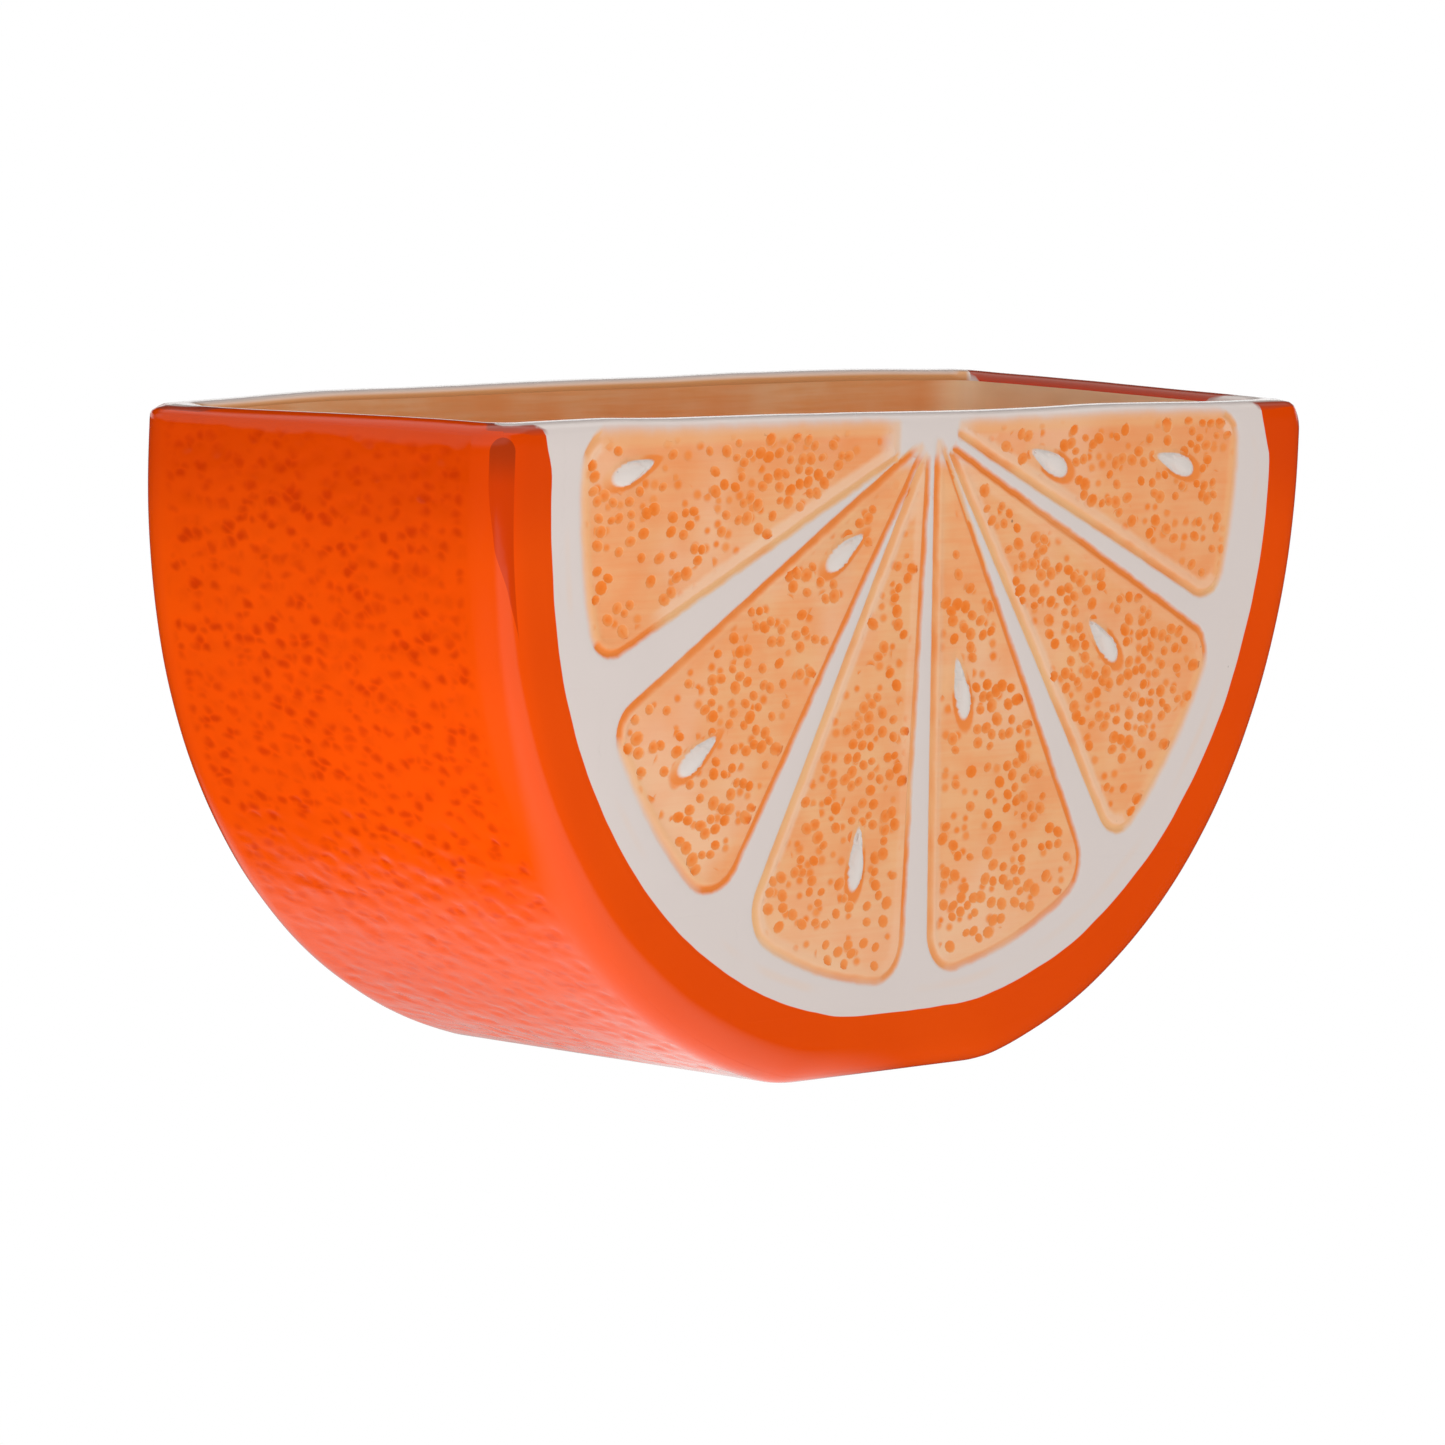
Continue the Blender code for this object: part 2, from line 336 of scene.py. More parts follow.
def smoothStep(value, low, high):
    share = np.clip((value - low) / (high - low), 0.0, 1.0)
    return share * share * (3 - 2 * share)


def noiseAt(points, size, seed):
    # smooth noise of about -1 to 1, with features of this size
    shift = Vector((seed * 17.3, seed * -7.9, seed * 3.1))
    return np.array([noise.noise(Vector(point) / size + shift) for point in points]) * 1.6


def atDepth(flat, y=0.0):
    # (u, z) points as 3D points
    return np.stack([flat[:, 0], np.broadcast_to(y, len(flat)), flat[:, 1]], 1)


def hubDistance(points):
    return np.linalg.norm(points - np.array((0.0, pulp["hubHeight"])), axis=1)


def softSide(normal, points):
    # 1 on the outer arcs, along the rim and at the hub, where a segment has no groove
    centre = np.array((0.0, pot["discCentre"]))
    outwards = points - centre
    size = np.linalg.norm(outwards, axis=1)
    outwards = outwards / np.maximum(size, 1e-6)[:, None]
    arc = smoothStep(np.sum(outwards * normal, 1), 0.86, 0.97) * smoothStep(size, 52.0, 58.0)
    arc *= 0.35 + 0.65 * smoothStep(points[:, 1], 20.0, 40.0)
    top = smoothStep(normal[:, 1], 0.95, 0.99) * smoothStep(points[:, 1], 78.5, 80.5)
    reach = hubDistance(points)
    hubwards = (np.array((0.0, pulp["hubHeight"])) - points) / np.maximum(reach, 1e-6)[:, None]
    tip = smoothStep(np.sum(hubwards * normal, 1), 0.5, 0.85) * smoothStep(reach, 16.0, 10.0)
    return np.maximum(np.maximum(arc, top), np.maximum(tip, smoothStep(reach, 5.0, 3.0)))


def faceRelief(points, distance, normal):
    # height of the cut face, positive outwards, where pulpField has given these
    reach, _ = seedField(points)
    soft = softSide(normal, points)
    depth = pulp["grooveDepth"] * (1 - 0.8 * soft)
    halfWidth = pulp["grooveHalfWidth"] * (1 + 0.3 * soft)
    height = -depth * bump(distance / halfWidth)
    crest = pulp["crestHeight"] * (1 - 0.8 * soft)
    height += crest * bump((distance - pulp["crestPlace"]) / pulp["crestHalfWidth"])
    uneven = noiseAt(atDepth(points), 5.0, 1)
    inside = smoothStep(distance, 0.8, 1.8)
    height += inside * (pulp["unevenness"] * uneven - pulp["hollow"])
    height += pulp["pillow"] * smoothStep(distance, 1.2, 9.0)
    dome = np.clip(1 - reach * reach, 0.0, 1.0) ** 0.6
    height += seeds["height"] * dome
    moat, place, halfWidth = seeds["moat"]
    height -= moat * bump((reach - place) / halfWidth)
    return height


# The shell is a list of patches that share their edge points. They are merged into one closed mesh.

def addPatch(shell, points, faces):
    shell["faces"] += [[index + shell["count"] for index in face] for face in faces]
    shell["points"].append(points)
    shell["count"] += len(points)


def addGrid(shell, rows):
    across, along = rows.shape[:2]
    faces = []
    for row in range(across - 1):
        for column in range(along - 1):
            corner = row * along + column
            faces.append([corner, corner + 1, corner + along + 1, corner + along])
    addPatch(shell, rows.reshape(-1, 3), faces)


def triangulate(boundary, inner):
    points = np.concatenate([boundary, inner])
    made = delaunay_2d_cdt([Vector(point) for point in points], [], [list(range(len(boundary)))], 1, 1e-6)
    origin = [points[source[0]] for source in made[3]]
    return np.array(origin), [list(face) for face in made[2]]


def hexGrid(low, high, step):
    rise = step * math.sqrt(3) / 2
    rows = []
    for number, z in enumerate(np.arange(low[1], high[1], rise)):
        u = np.arange(low[0] + (number % 2) * step / 2, high[0], step)
        rows.append(np.stack([u, np.full(len(u), z)], 1))
    return np.concatenate(rows)


def clearOf(points, others, gap):
    # the points that stay at least this far from the others, found in square cells
    cells = {}
    for x, y in others:
        cells.setdefault((math.floor(x / gap), math.floor(y / gap)), []).append((x, y))
    kept = []
    for x, y in points:
        column, row = math.floor(x / gap), math.floor(y / gap)
        near = [cells.get((column + i, row + j), ()) for i in (-1, 0, 1) for j in (-1, 0, 1)]
        if all((x - itsX) ** 2 + (y - itsY) ** 2 >= gap * gap for cell in near for itsX, itsY in cell):
            kept.append((x, y))
    return np.array(kept)


def insideLoop(points, loop, margin):
    return points[nearestOnLoop(points, loop)[0] > margin]


def filling(boundary, step, margin):
    return insideLoop(hexGrid(boundary.min(0), boundary.max(0), step), boundary, margin)


def unrolled(columns, sides, halfDepth):
    # a round wall laid flat, as run along the outline and y: each column's run, and the sheet's boundary
    run = runAlong(columns)
    front = np.stack([run, np.full(len(run), -halfDepth)], 1)
    right = np.stack([np.full(len(sides), run[-1]), sides], 1)
    back = front[::-1] * towardsBack[:2]
    left = np.stack([np.zeros(len(sides)), sides[::-1]], 1)
    return run, np.concatenate([side[:-1] for side in (front, right, back, left)])


def addUnrolled(shell, columns, run, boundary, inner):
    flat, faces = triangulate(boundary, inner)
    x, z = (np.interp(flat[:, 0], run, columns[:, axis]) for axis in range(2))
    addPatch(shell, np.stack([x, flat[:, 1], z], 1), faces)


def filletRows(columns, normals, depth, radius, rows):
    # from the cut face round to the rind, on the side where y is negative
    made = []
    for row in range(rows + 1):
        turn = math.pi / 2 * row / rows
        inset = radius * (1 - math.sin(turn))
        y = -depth / 2 + radius * (1 - math.cos(turn))
        made.append(atDepth(columns + normals * inset, y))
    return np.array(made)


def facePoints():
    # points that follow the grooves and seeds
    rows = []
    for outline in segmentOutlines:
        closed = np.concatenate([outline, outline[:1]])
        along = spaced(closed, meshSteps["grooveAlong"])[:-1]
        run = np.roll(along, -1, axis=0) - np.roll(along, 1, axis=0)
        normal = np.stack([run[:, 1], -run[:, 0]], 1)
        normal /= np.linalg.norm(normal, axis=1, keepdims=True)
        area = np.sum(along[:, 0] * np.roll(along[:, 1], -1) - np.roll(along[:, 0], -1) * along[:, 1])
        normal *= np.sign(area)
        for distance in meshSteps["grooveAcross"]:
            moved = along - normal * distance
            its, _ = nearestOnLoop(moved, outline)
            rows.append(moved[np.abs(its - distance) < 0.05])
    rings = []
    for place in seeds["places"]:
        for reach in seeds["rings"]:
            for turn in np.arange(seeds["ringPoints"]) * 2 * math.pi / seeds["ringPoints"]:
                rings.append(tuple(seedPoint(place, reach, turn)))
        rings.append(tuple(seedPoint(place, 0.0, 0.0)))
    rings = np.array(rings)
    kept = rows[0]
    for row in rows[1:]:
        kept = np.concatenate([kept, clearOf(row, kept, 0.22)])
    return np.concatenate([clearOf(kept, rings, 0.35), rings])


def buildOutside(shell):
    columns, normals = outlineColumns(0.0, 0.0, meshSteps["outline"])
    fillet = filletRows(columns, normals, pot["depth"], pot["edgeRadius"], meshSteps["fillet"])
    addGrid(shell, fillet)
    addGrid(shell, fillet * towardsBack)

    # the rind
    halfDepth = cutPlane - pot["edgeRadius"]
    sides = np.linspace(-halfDepth, halfDepth, int(2 * halfDepth / meshSteps["outline"]))
    run, boundary = unrolled(columns, sides, halfDepth)
    fine = filling(boundary, meshSteps["rindFine"], 0.35)
    porous = np.abs(fine[:, 1]) < rindPores["halfDepth"] + 1.0
    porous &= np.interp(fine[:, 0], run, columns[:, 1]) > 0.4
    fine = fine[porous & (fine[:, 0] > 1.2) & (fine[:, 0] < run[-1] - 1.2)]
    coarse = clearOf(filling(boundary, meshSteps["rindCoarse"], 0.8), fine, 0.9)
    addUnrolled(shell, columns, run, boundary, np.concatenate([fine, coarse]))

    # the cut face, and the same slice turned half round for the back
    top = spaced(fillet[0, [0, -1]], meshSteps["outline"])[1:-1]
    boundary = np.concatenate([fillet[0], top[::-1]])[:, [0, 2]]
    drawn = clearOf(insideLoop(facePoints(), boundary, 0.15), boundary, 0.3)
    grid = clearOf(filling(boundary, meshSteps["faceFine"], 0.6), drawn, 0.62)
    flat, faces = triangulate(boundary, np.concatenate([drawn, grid]))
    relief = faceRelief(flat, *pulpField(flat)) * smoothStep(nearestOnLoop(flat, boundary)[0], 0.0, 0.3)
    front = atDepth(flat, -cutPlane - relief)
    addPatch(shell, front, faces)
    addPatch(shell, front * halfTurned, faces)
    return fillet, sides, top


def rimLoop(fillet, sides, top):
    # the outside of the rim in plan, with its inward directions: front, right, back, left
    turns = np.linspace(0.0, math.pi / 2, len(fillet))[1:-1]
    corner = fillet[1:-1, -1]
    cornerInward = np.stack([-np.sin(turns), np.cos(turns)], 1)
    end = fillet[-1, -1] * (1.0, 0.0, 1.0) + sides[:, None] * (0.0, 1.0, 0.0)
    front = np.concatenate([fillet[0, :1], top, fillet[0, -1:]])
    places = np.concatenate([front, corner, end, corner[::-1] * towardsBack])
    inward = np.concatenate([
        np.tile((0.0, 1.0), (len(front), 1)), cornerInward,
        np.tile((-1.0, 0.0), (len(end), 1)), cornerInward[::-1] * towardsBack[:2]])
    return np.concatenate([places, places * halfTurned]), np.concatenate([inward, -inward])


def buildRim(shell, loop, inward):
    outerCore = loop[:, :2] + pot["edgeRadius"] * inward
    half = np.array((pot["width"] / 2, cutPlane))
    innerCore = outerCore * (half - pot["wall"] - pot["innerRadius"]) / (half - pot["edgeRadius"])
    innerLoop = innerCore - pot["innerRadius"] * inward
    rows = []
    for across in meshSteps["rim"]:
        share = (across + 1) / 2
        flat = loop[:, :2] * (1 - share) + innerLoop * share
        z = rimBase + pot["rimHeight"] * max(0.0, 1 - abs(across) ** 3.4) ** 0.5
        ring = np.concatenate([flat, np.full((len(flat), 1), z)], 1)
        rows.append(np.concatenate([ring, ring[:1]]))
    addGrid(shell, np.array(rows))
    return innerLoop


def buildInside(shell, innerLoop, sides, top):
    # the hollow has few faces, because its walls are plain
    columns, normals = outlineColumns(pot["wall"], pot["floor"], meshSteps["inside"])
    depth = pot["depth"] - 2 * pot["wall"]
    fillet = filletRows(columns, normals, depth, pot["innerRadius"], meshSteps["fillet"])
    addGrid(shell, fillet)
    addGrid(shell, fillet * towardsBack)
    halfDepth = depth / 2 - pot["innerRadius"]
    run, boundary = unrolled(columns, sides * halfDepth / abs(sides[0]), halfDepth)
    addUnrolled(shell, columns, run, boundary, filling(boundary, meshSteps["inside"], 2.0))
    wallTop = np.stack([innerLoop[len(top):0:-1, 0], np.full(len(top), rimBase)], 1)
    boundary = np.concatenate([fillet[0][:, [0, 2]], wallTop])
    flat, faces = triangulate(boundary, filling(boundary, meshSteps["inside"], 2.0))
    wall = atDepth(flat, -depth / 2)
    addPatch(shell, wall, faces)
    addPatch(shell, wall * towardsBack, faces)


rindPores = {
    "halfDepth": 25.3,           # the rounded edges of both cut faces have no pores
    "spacing": 2.5,
    "width": 2.3,
    "flatness": 1.6,             # how much wider a pore is than it is high
    "depth": 0.2,
    "seed": 11,
}

pulpDimples = {
    "spacing": 1.3,
    "perSquareMillimetre": 0.40,
    "radius": 1.25,
    "depth": 0.17,
    "lift": 0.35,                # of a cutting ball's middle above the face, as a share of its radius
    "seed": 5,
}


def buildShell():
    shell = {"points": [], "faces": [], "count": 0}
    fillet, sides, top = buildOutside(shell)
    loop, inward = rimLoop(fillet, sides, top)
    innerLoop = buildRim(shell, loop, inward)
    buildInside(shell, innerLoop, sides, top)
    mesh = bpy.data.meshes.new("glazedPlanter")
    mesh.from_pydata((np.concatenate(shell["points"]) * millimetre).tolist(), [], shell["faces"])
    work = bmesh.new()
    work.from_mesh(mesh)
    bmesh.ops.remove_doubles(work, verts=work.verts, dist=2e-6)
    bmesh.ops.recalc_face_normals(work, faces=work.faces)
    openEdges = sum(not edge.is_manifold for edge in work.edges)
    work.to_mesh(mesh)
    work.free()
    planter = bpy.data.objects.new("glazedPlanter", mesh)
    bpy.context.scene.collection.objects.link(planter)
    print("shell:", len(mesh.polygons), "faces,", openEdges, "open edges")
    return planter


class Signal:
    # what comes out of a node; a sum or product with it is one more node in its tree
    def __init__(self, socket):
        self.socket = socket
        self.tree = socket.id_data

    def __add__(self, other):
        return calculate("ADD", self, other)

    def __sub__(self, other):
        return calculate("SUBTRACT", self, other)

    def __rsub__(self, other):
        return calculate("SUBTRACT", other, self)

    def __mul__(self, other):
        return calculate("MULTIPLY", self, other)

    def __truediv__(self, other):
        return calculate("DIVIDE", self, other)

    def __rtruediv__(self, other):
        return calculate("DIVIDE", other, self)

    def __pow__(self, other):
        return calculate("POWER", self, other)

    def __abs__(self):
        return calculate("ABSOLUTE", self)


class Signals:
    # a node's outputs, by name or number
    def __init__(self, node):
        self.outputs = node.outputs

    def __getitem__(self, key):
        return Signal(self.outputs[key])


def fill(socket, value):
    # a socket takes a signal, a number or the three parts of a colour
    if isinstance(value, Signal):
        value.tree.links.new(value.socket, socket)
    else:
        socket.default_value = (*value, 1.0) if socket.type == "RGBA" else value


def addNode(tree, kind, inputs={}, **settings):
    made = tree.nodes.new(kind)
    for name, value in settings.items():
        setattr(made, name, value)
    for key, value in inputs.items():
        fill(made.inputs[key], value)
    return Signals(made)


def calculate(operation, first, second=0.0):
    tree = (first if isinstance(first, Signal) else second).tree
    return addNode(tree, "ShaderNodeMath", {0: first, 1: second}, operation=operation)[0]


def larger(first, second):
    return calculate("MAXIMUM", first, second)


def vectors(operation, first, second):
    key = "Scale" if operation == "SCALE" else 1
    made = addNode(first.tree, "ShaderNodeVectorMath", {0: first, key: second}, operation=operation)
    return made["Value" if operation == "DISTANCE" else 0]


def ease(value, low, high, start=0.0, end=1.0):
    return addNode(value.tree, "ShaderNodeMapRange", {
        "Value": value, "From Min": low, "From Max": high, "To Min": start, "To Max": end,
    }, interpolation_type="SMOOTHSTEP")["Result"]


def combine(tree, x=0.0, y=0.0, z=0.0):
    return addNode(tree, "ShaderNodeCombineXYZ", {"X": x, "Y": y, "Z": z})[0]


def newGroup(name, kind, inputs, outputs):
    # a node tree with these sockets: the tree, what it is given, and what it gives
    tree = bpy.data.node_groups.new(name, kind)
    for side, sockets in (("INPUT", inputs), ("OUTPUT", outputs)):
        for label, socket in sockets.items():
            tree.interface.new_socket(label, in_out=side, socket_type="NodeSocket" + socket)
    return tree, Signals(tree.nodes.new("NodeGroupInput")), tree.nodes.new("NodeGroupOutput").inputs


# The trees below scatter the pores of the rind and cut the dimples of the pulp.

def shapeTree(name, inputs):
    return newGroup(name, "GeometryNodeTree", {"Geometry": "Geometry", **inputs}, {"Geometry": "Geometry"})


def storedValue(tree, name):
    return addNode(tree, "GeometryNodeInputNamedAttribute", {"Name": name})["Attribute"]


def storeValue(geometry, name, value):
    return addNode(geometry.tree, "GeometryNodeStoreNamedAttribute", {
        "Geometry": geometry, "Name": name, "Value": value})[0]


def poissonPoints(geometry, spacing, density, area, seed):
    return addNode(geometry.tree, "GeometryNodeDistributePointsOnFaces", {
        "Mesh": geometry, "Distance Min": spacing, "Density Max": density, "Density Factor": area,
        "Seed": seed}, distribute_method="POISSON")["Points"]


def finishShape(geometry, material, result, selection=True):
    whole = addNode(geometry.tree, "GeometryNodeRealizeInstances", {"Geometry": geometry})[0]
    glazed = addNode(geometry.tree, "GeometryNodeSetMaterial", {
        "Geometry": whole, "Selection": selection, "Material": material})[0]
    fill(result["Geometry"], glazed)


def runTree(piece, tree, values):
    modifier = piece.modifiers.new(tree.name, "NODES")
    modifier.node_group = tree
    for item in tree.interface.items_tree:
        if item.in_out == "INPUT" and item.name in values:
            modifier[item.identifier] = values[item.name]
    bpy.context.view_layer.update()
    graph = bpy.context.evaluated_depsgraph_get()
    mesh = bpy.data.meshes.new_from_object(
        piece.evaluated_get(graph), preserve_all_data_layers=True, depsgraph=graph)
    piece.modifiers.remove(modifier)
    old = piece.data
    piece.data = mesh
    bpy.data.meshes.remove(old)
    mesh.name = piece.name
    print(tree.name + ":", len(mesh.polygons), "faces")


def poreTree():
    tree, given, result = shapeTree("rindPoreTree", {
        "Spacing": "Float", "Pore Width": "Float", "Pore Depth": "Float", "Flatness": "Float",
        "Seed": "Int", "Rind Glaze": "Material"})
    area = storedValue(tree, "poreArea")
    density = 2.5 / given["Spacing"] ** 2.0
    points = poissonPoints(given["Geometry"], given["Spacing"], density, area, given["Seed"])
    position = addNode(tree, "GeometryNodeInputPosition")[0]
    ragged = addNode(tree, "ShaderNodeTexNoise", {"Vector": position, "Scale": 620.0, "Detail": 1.0})["Color"]
    wander = vectors("SCALE", vectors("SUBTRACT", ragged, (0.5, 0.5, 0.5)), 0.0021)
    moved = vectors("ADD", position, wander)
    taller = combine(tree, 1.0, 1.0, given["Flatness"])
    middles = addNode(tree, "GeometryNodeTransform", {"Geometry": points, "Scale": taller})[0]
    nearest = addNode(tree, "GeometryNodeProximity", {
        0: middles, "Sample Position": vectors("MULTIPLY", moved, taller)}, target_element="POINTS")
    dip = ease(nearest["Distance"] / given["Pore Width"], 0.0, 0.8, 1.0, 0.0)
    patchy = addNode(tree, "ShaderNodeTexNoise", {"Vector": position, "Scale": 260.0, "Detail": 1.0})["Fac"]
    pore = dip * ease(patchy, 0.3, 0.68, 0.35, 1.1) * area
    marked = storeValue(given["Geometry"], "pore", pore)
    inwards = vectors("SCALE", addNode(tree, "GeometryNodeInputNormal")[0], pore * given["Pore Depth"] * -1.0)
    sunk = addNode(tree, "GeometryNodeSetPosition", {"Geometry": marked, "Offset": inwards})[0]
    finishShape(sunk, given["Rind Glaze"], result)
    return tree


def dimpleShape(tree, lift):
    # a ball of unit radius whose middle lies above the surface, so that it cuts a shallow bowl
    ball = addNode(tree, "GeometryNodeMeshUVSphere", {"Segments": 9, "Rings": 4})["Mesh"]
    moved = addNode(tree, "GeometryNodeTransform", {
        "Geometry": ball, "Translation": combine(tree, z=lift)})[0]
    return storeValue(moved, "dimple", 1.0)


def randomValue(tree, low, high, seed):
    return addNode(tree, "FunctionNodeRandomValue", {2: low, 3: high, "Seed": seed})[1]


def dimpleTree():
    tree, given, result = shapeTree("pulpDimpleTree", {
        "Spacing": "Float", "Density": "Float", "Radius": "Float", "Depth": "Float", "Lift": "Float",
        "Seed": "Int", "Dot Glaze": "Material"})
    area = storedValue(tree, "dotArea")
    points = poissonPoints(given["Geometry"], given["Spacing"], given["Density"], area, given["Seed"])
    position = addNode(tree, "GeometryNodeInputPosition")[0]
    y = addNode(tree, "ShaderNodeSeparateXYZ", {0: position})["Y"]
    upright = combine(tree, x=math.pi / 2, z=calculate("GREATER_THAN", y, 0.0) * math.pi)
    spin = combine(tree, z=randomValue(tree, -0.35, 0.35, 21))
    turned = addNode(tree, "FunctionNodeRotateRotation", {"Rotation": upright, "Rotate By": spin},
                     rotation_space="LOCAL")[0]
    wide = given["Radius"] * randomValue(tree, 0.75, 1.15, 22)
    tall = wide * randomValue(tree, 0.64, 0.84, 23)
    deep = given["Depth"] / (1.0 - given["Lift"])
    placed = addNode(tree, "GeometryNodeInstanceOnPoints", {
        "Points": points, "Instance": dimpleShape(tree, given["Lift"]),
        "Rotation": turned, "Scale": combine(tree, wide, tall, deep)})[0]
    cut = addNode(tree, "GeometryNodeMeshBoolean", {"Mesh 1": given["Geometry"], "Mesh 2": placed},
                  operation="DIFFERENCE", solver="MANIFOLD")["Mesh"]
    onFaces = addNode(tree, "GeometryNodeFieldOnDomain", {0: storedValue(tree, "dimple")}, domain="FACE")[0]
    inDimple = addNode(tree, "FunctionNodeCompare", {0: onFaces, 1: 0.0}, operation="GREATER_THAN")[0]
    finishShape(cut, given["Dot Glaze"], result, inDimple)
    return tree


def readValues(items, name, kind=np.int32):
    values = np.zeros(len(items), kind)
    items.foreach_get(name, values)
    return values


def readVectors(items, name):
    values = np.zeros(len(items) * 3)
    items.foreach_get(name, values)
    return values.reshape(-1, 3)


def writeAttribute(mesh, name, values):
    attribute = mesh.attributes.get(name) or mesh.attributes.new(name, "FLOAT", "POINT")
    attribute.data.foreach_set("value", np.asarray(values, np.float32))


def overFaces(mesh, name, reduction):
    # the highest or lowest value of an attribute round each face
    values = readValues(mesh.attributes[name].data, "value", np.float32)
    corners = readValues(mesh.loops, "vertex_index")
    return reduction.reduceat(values[corners], readValues(mesh.polygons, "loop_start"))


def spreadOut(chosen, values, rest):
    # these values for the points that are chosen, and one value for the rest
    made = np.full(len(chosen), rest)
    made[chosen] = values
    return made


def facePlaces(points):
    # (u, z) of points on either cut face
    return np.stack([points[:, 0] * -np.sign(points[:, 1]), points[:, 2]], 1)


def scatterAreas(mesh):
    # where the rind has pores and where the pulp has dimples, as densities from 0 to 1
    points = readVectors(mesh.vertices, "co") / millimetre
    outside = (np.abs(points[:, 1]) < cutPlane - 2) & (points[:, 2] < rimBase + 0.01)
    fromCentre = points - (0.0, 0.0, pot["discCentre"])
    outside &= np.sum(fromCentre * readVectors(mesh.vertices, "normal"), 1) > 0
    area = smoothStep(np.abs(points[:, 1]), rindPores["halfDepth"], rindPores["halfDepth"] - 2.5)
    area *= smoothStep(points[:, 2], 0.4, 2.5) * smoothStep(points[:, 2], 82.4, 80.6)
    writeAttribute(mesh, "poreArea", np.where(outside, area, 0.0))
    onCut = (np.abs(points[:, 1]) > cutPlane - 0.8) & (points[:, 2] < rimBase)
    flat = facePlaces(points[onCut])
    distance, normal = pulpField(flat)
    reach, _ = seedField(flat)
    middles = [np.array(seedAxes(place)[0]) for place in seeds["places"]]
    fromMiddle = np.min([np.linalg.norm(flat - middle, axis=1) for middle in middles], 0)
    density = smoothStep(distance + 0.5 * softSide(normal, flat), 1.6, 1.9)
    density *= smoothStep(fromMiddle * (1 - 1 / np.maximum(reach, 1.0)), 1.3, 1.5)
    density *= np.clip(0.72 + 0.5 * noiseAt(atDepth(flat), 9.0, 4), 0.25, 1.0)
    writeAttribute(mesh, "dotArea", spreadOut(onCut, density, 0.0))


painting = {
    "bandWidth": 9.5,
    "bandBottom": 8.35,
    "bandTop": 95.0,
    "rimLeft": ((79.0, 0.0), (80.5, -0.4), (83.3, -1.5), (84.0, -3.3)),     # heights, and shifts there
    "rimRight": ((66.0, 0.0), (77.0, 0.3), (84.0, 2.7)),
    "rimLap": (0.75, 3.5, 1.4),  # how far the orange laps over it, and what the ends and the right side add
    "seedPoolDirection": (0.5, -0.86),
    "seedTaper": 0.24,           # the white on the seeds runs out less sharply than their form
    "sidePools": (               # along each segment's first and last side
        (0.3, 0.12), (0.72, 0.9), (0.2, 0.7), (0.5, 0.95), (0.15, 0.75), (0.4, 0.3)),
}


def paintField(flat):
    # distance beyond the line where the orange of the rind ends on the cut face
    line = sliceOutline(painting["bandWidth"], painting["bandBottom"], painting["bandTop"])
    distance, _ = nearestOnLoop(flat, spaced(line, 0.6))
    left, right = (np.interp(flat[:, 1], *zip(*painting[name])) for name in ("rimLeft", "rimRight"))
    wobble = 0.16 * noiseAt(atDepth(flat), 14.0, 7) + 0.05 * noiseAt(atDepth(flat), 3.0, 8)
    return -distance + np.where(flat[:, 0] < 0, left, right) + wobble


def sidePool(flat):
    # how much glaze has pooled along the sides of the segments, from each one's first side to its later one
    offset = flat - np.array((0.0, pulp["hubHeight"]))
    reach = np.maximum(hubDistance(flat), 3.0)
    bearing = np.degrees(np.arctan2(-offset[:, 1], -offset[:, 0]) - 0.9 / reach)
    edges = [0.0] + [membrane[0] for membrane in pulp["membranes"] for _ in range(2)] + [180.0]
    edges[2:-1:2] = [edge + 0.01 for edge in edges[2:-1:2]]
    pools = np.array(painting["sidePools"]).ravel()
    inCorner = smoothStep(bearing, 12.0, 20.0) * smoothStep(bearing, 28.0, 26.0)
    inCorner = inCorner * smoothStep(reach, 52.0, 60.0)
    return np.interp(bearing, edges, pools) + 0.7 * inCorner


def rimDistance(points):
    # distance inwards from the pot's outside in plan, and how much that direction points at the ends
    corner = np.array((pot["width"] / 2, pot["depth"] / 2)) - pot["edgeRadius"]
    offset = np.abs(points[:, :2]) - corner
    beyond = np.maximum(offset, 0.0)
    reach = np.linalg.norm(beyond, axis=1)
    distance = pot["edgeRadius"] - reach - np.minimum(offset.max(1), 0.0)
    endwards = np.where(reach > 1e-6, beyond[:, 0] / np.maximum(reach, 1e-6), offset[:, 0] > offset[:, 1])
    return distance, endwards


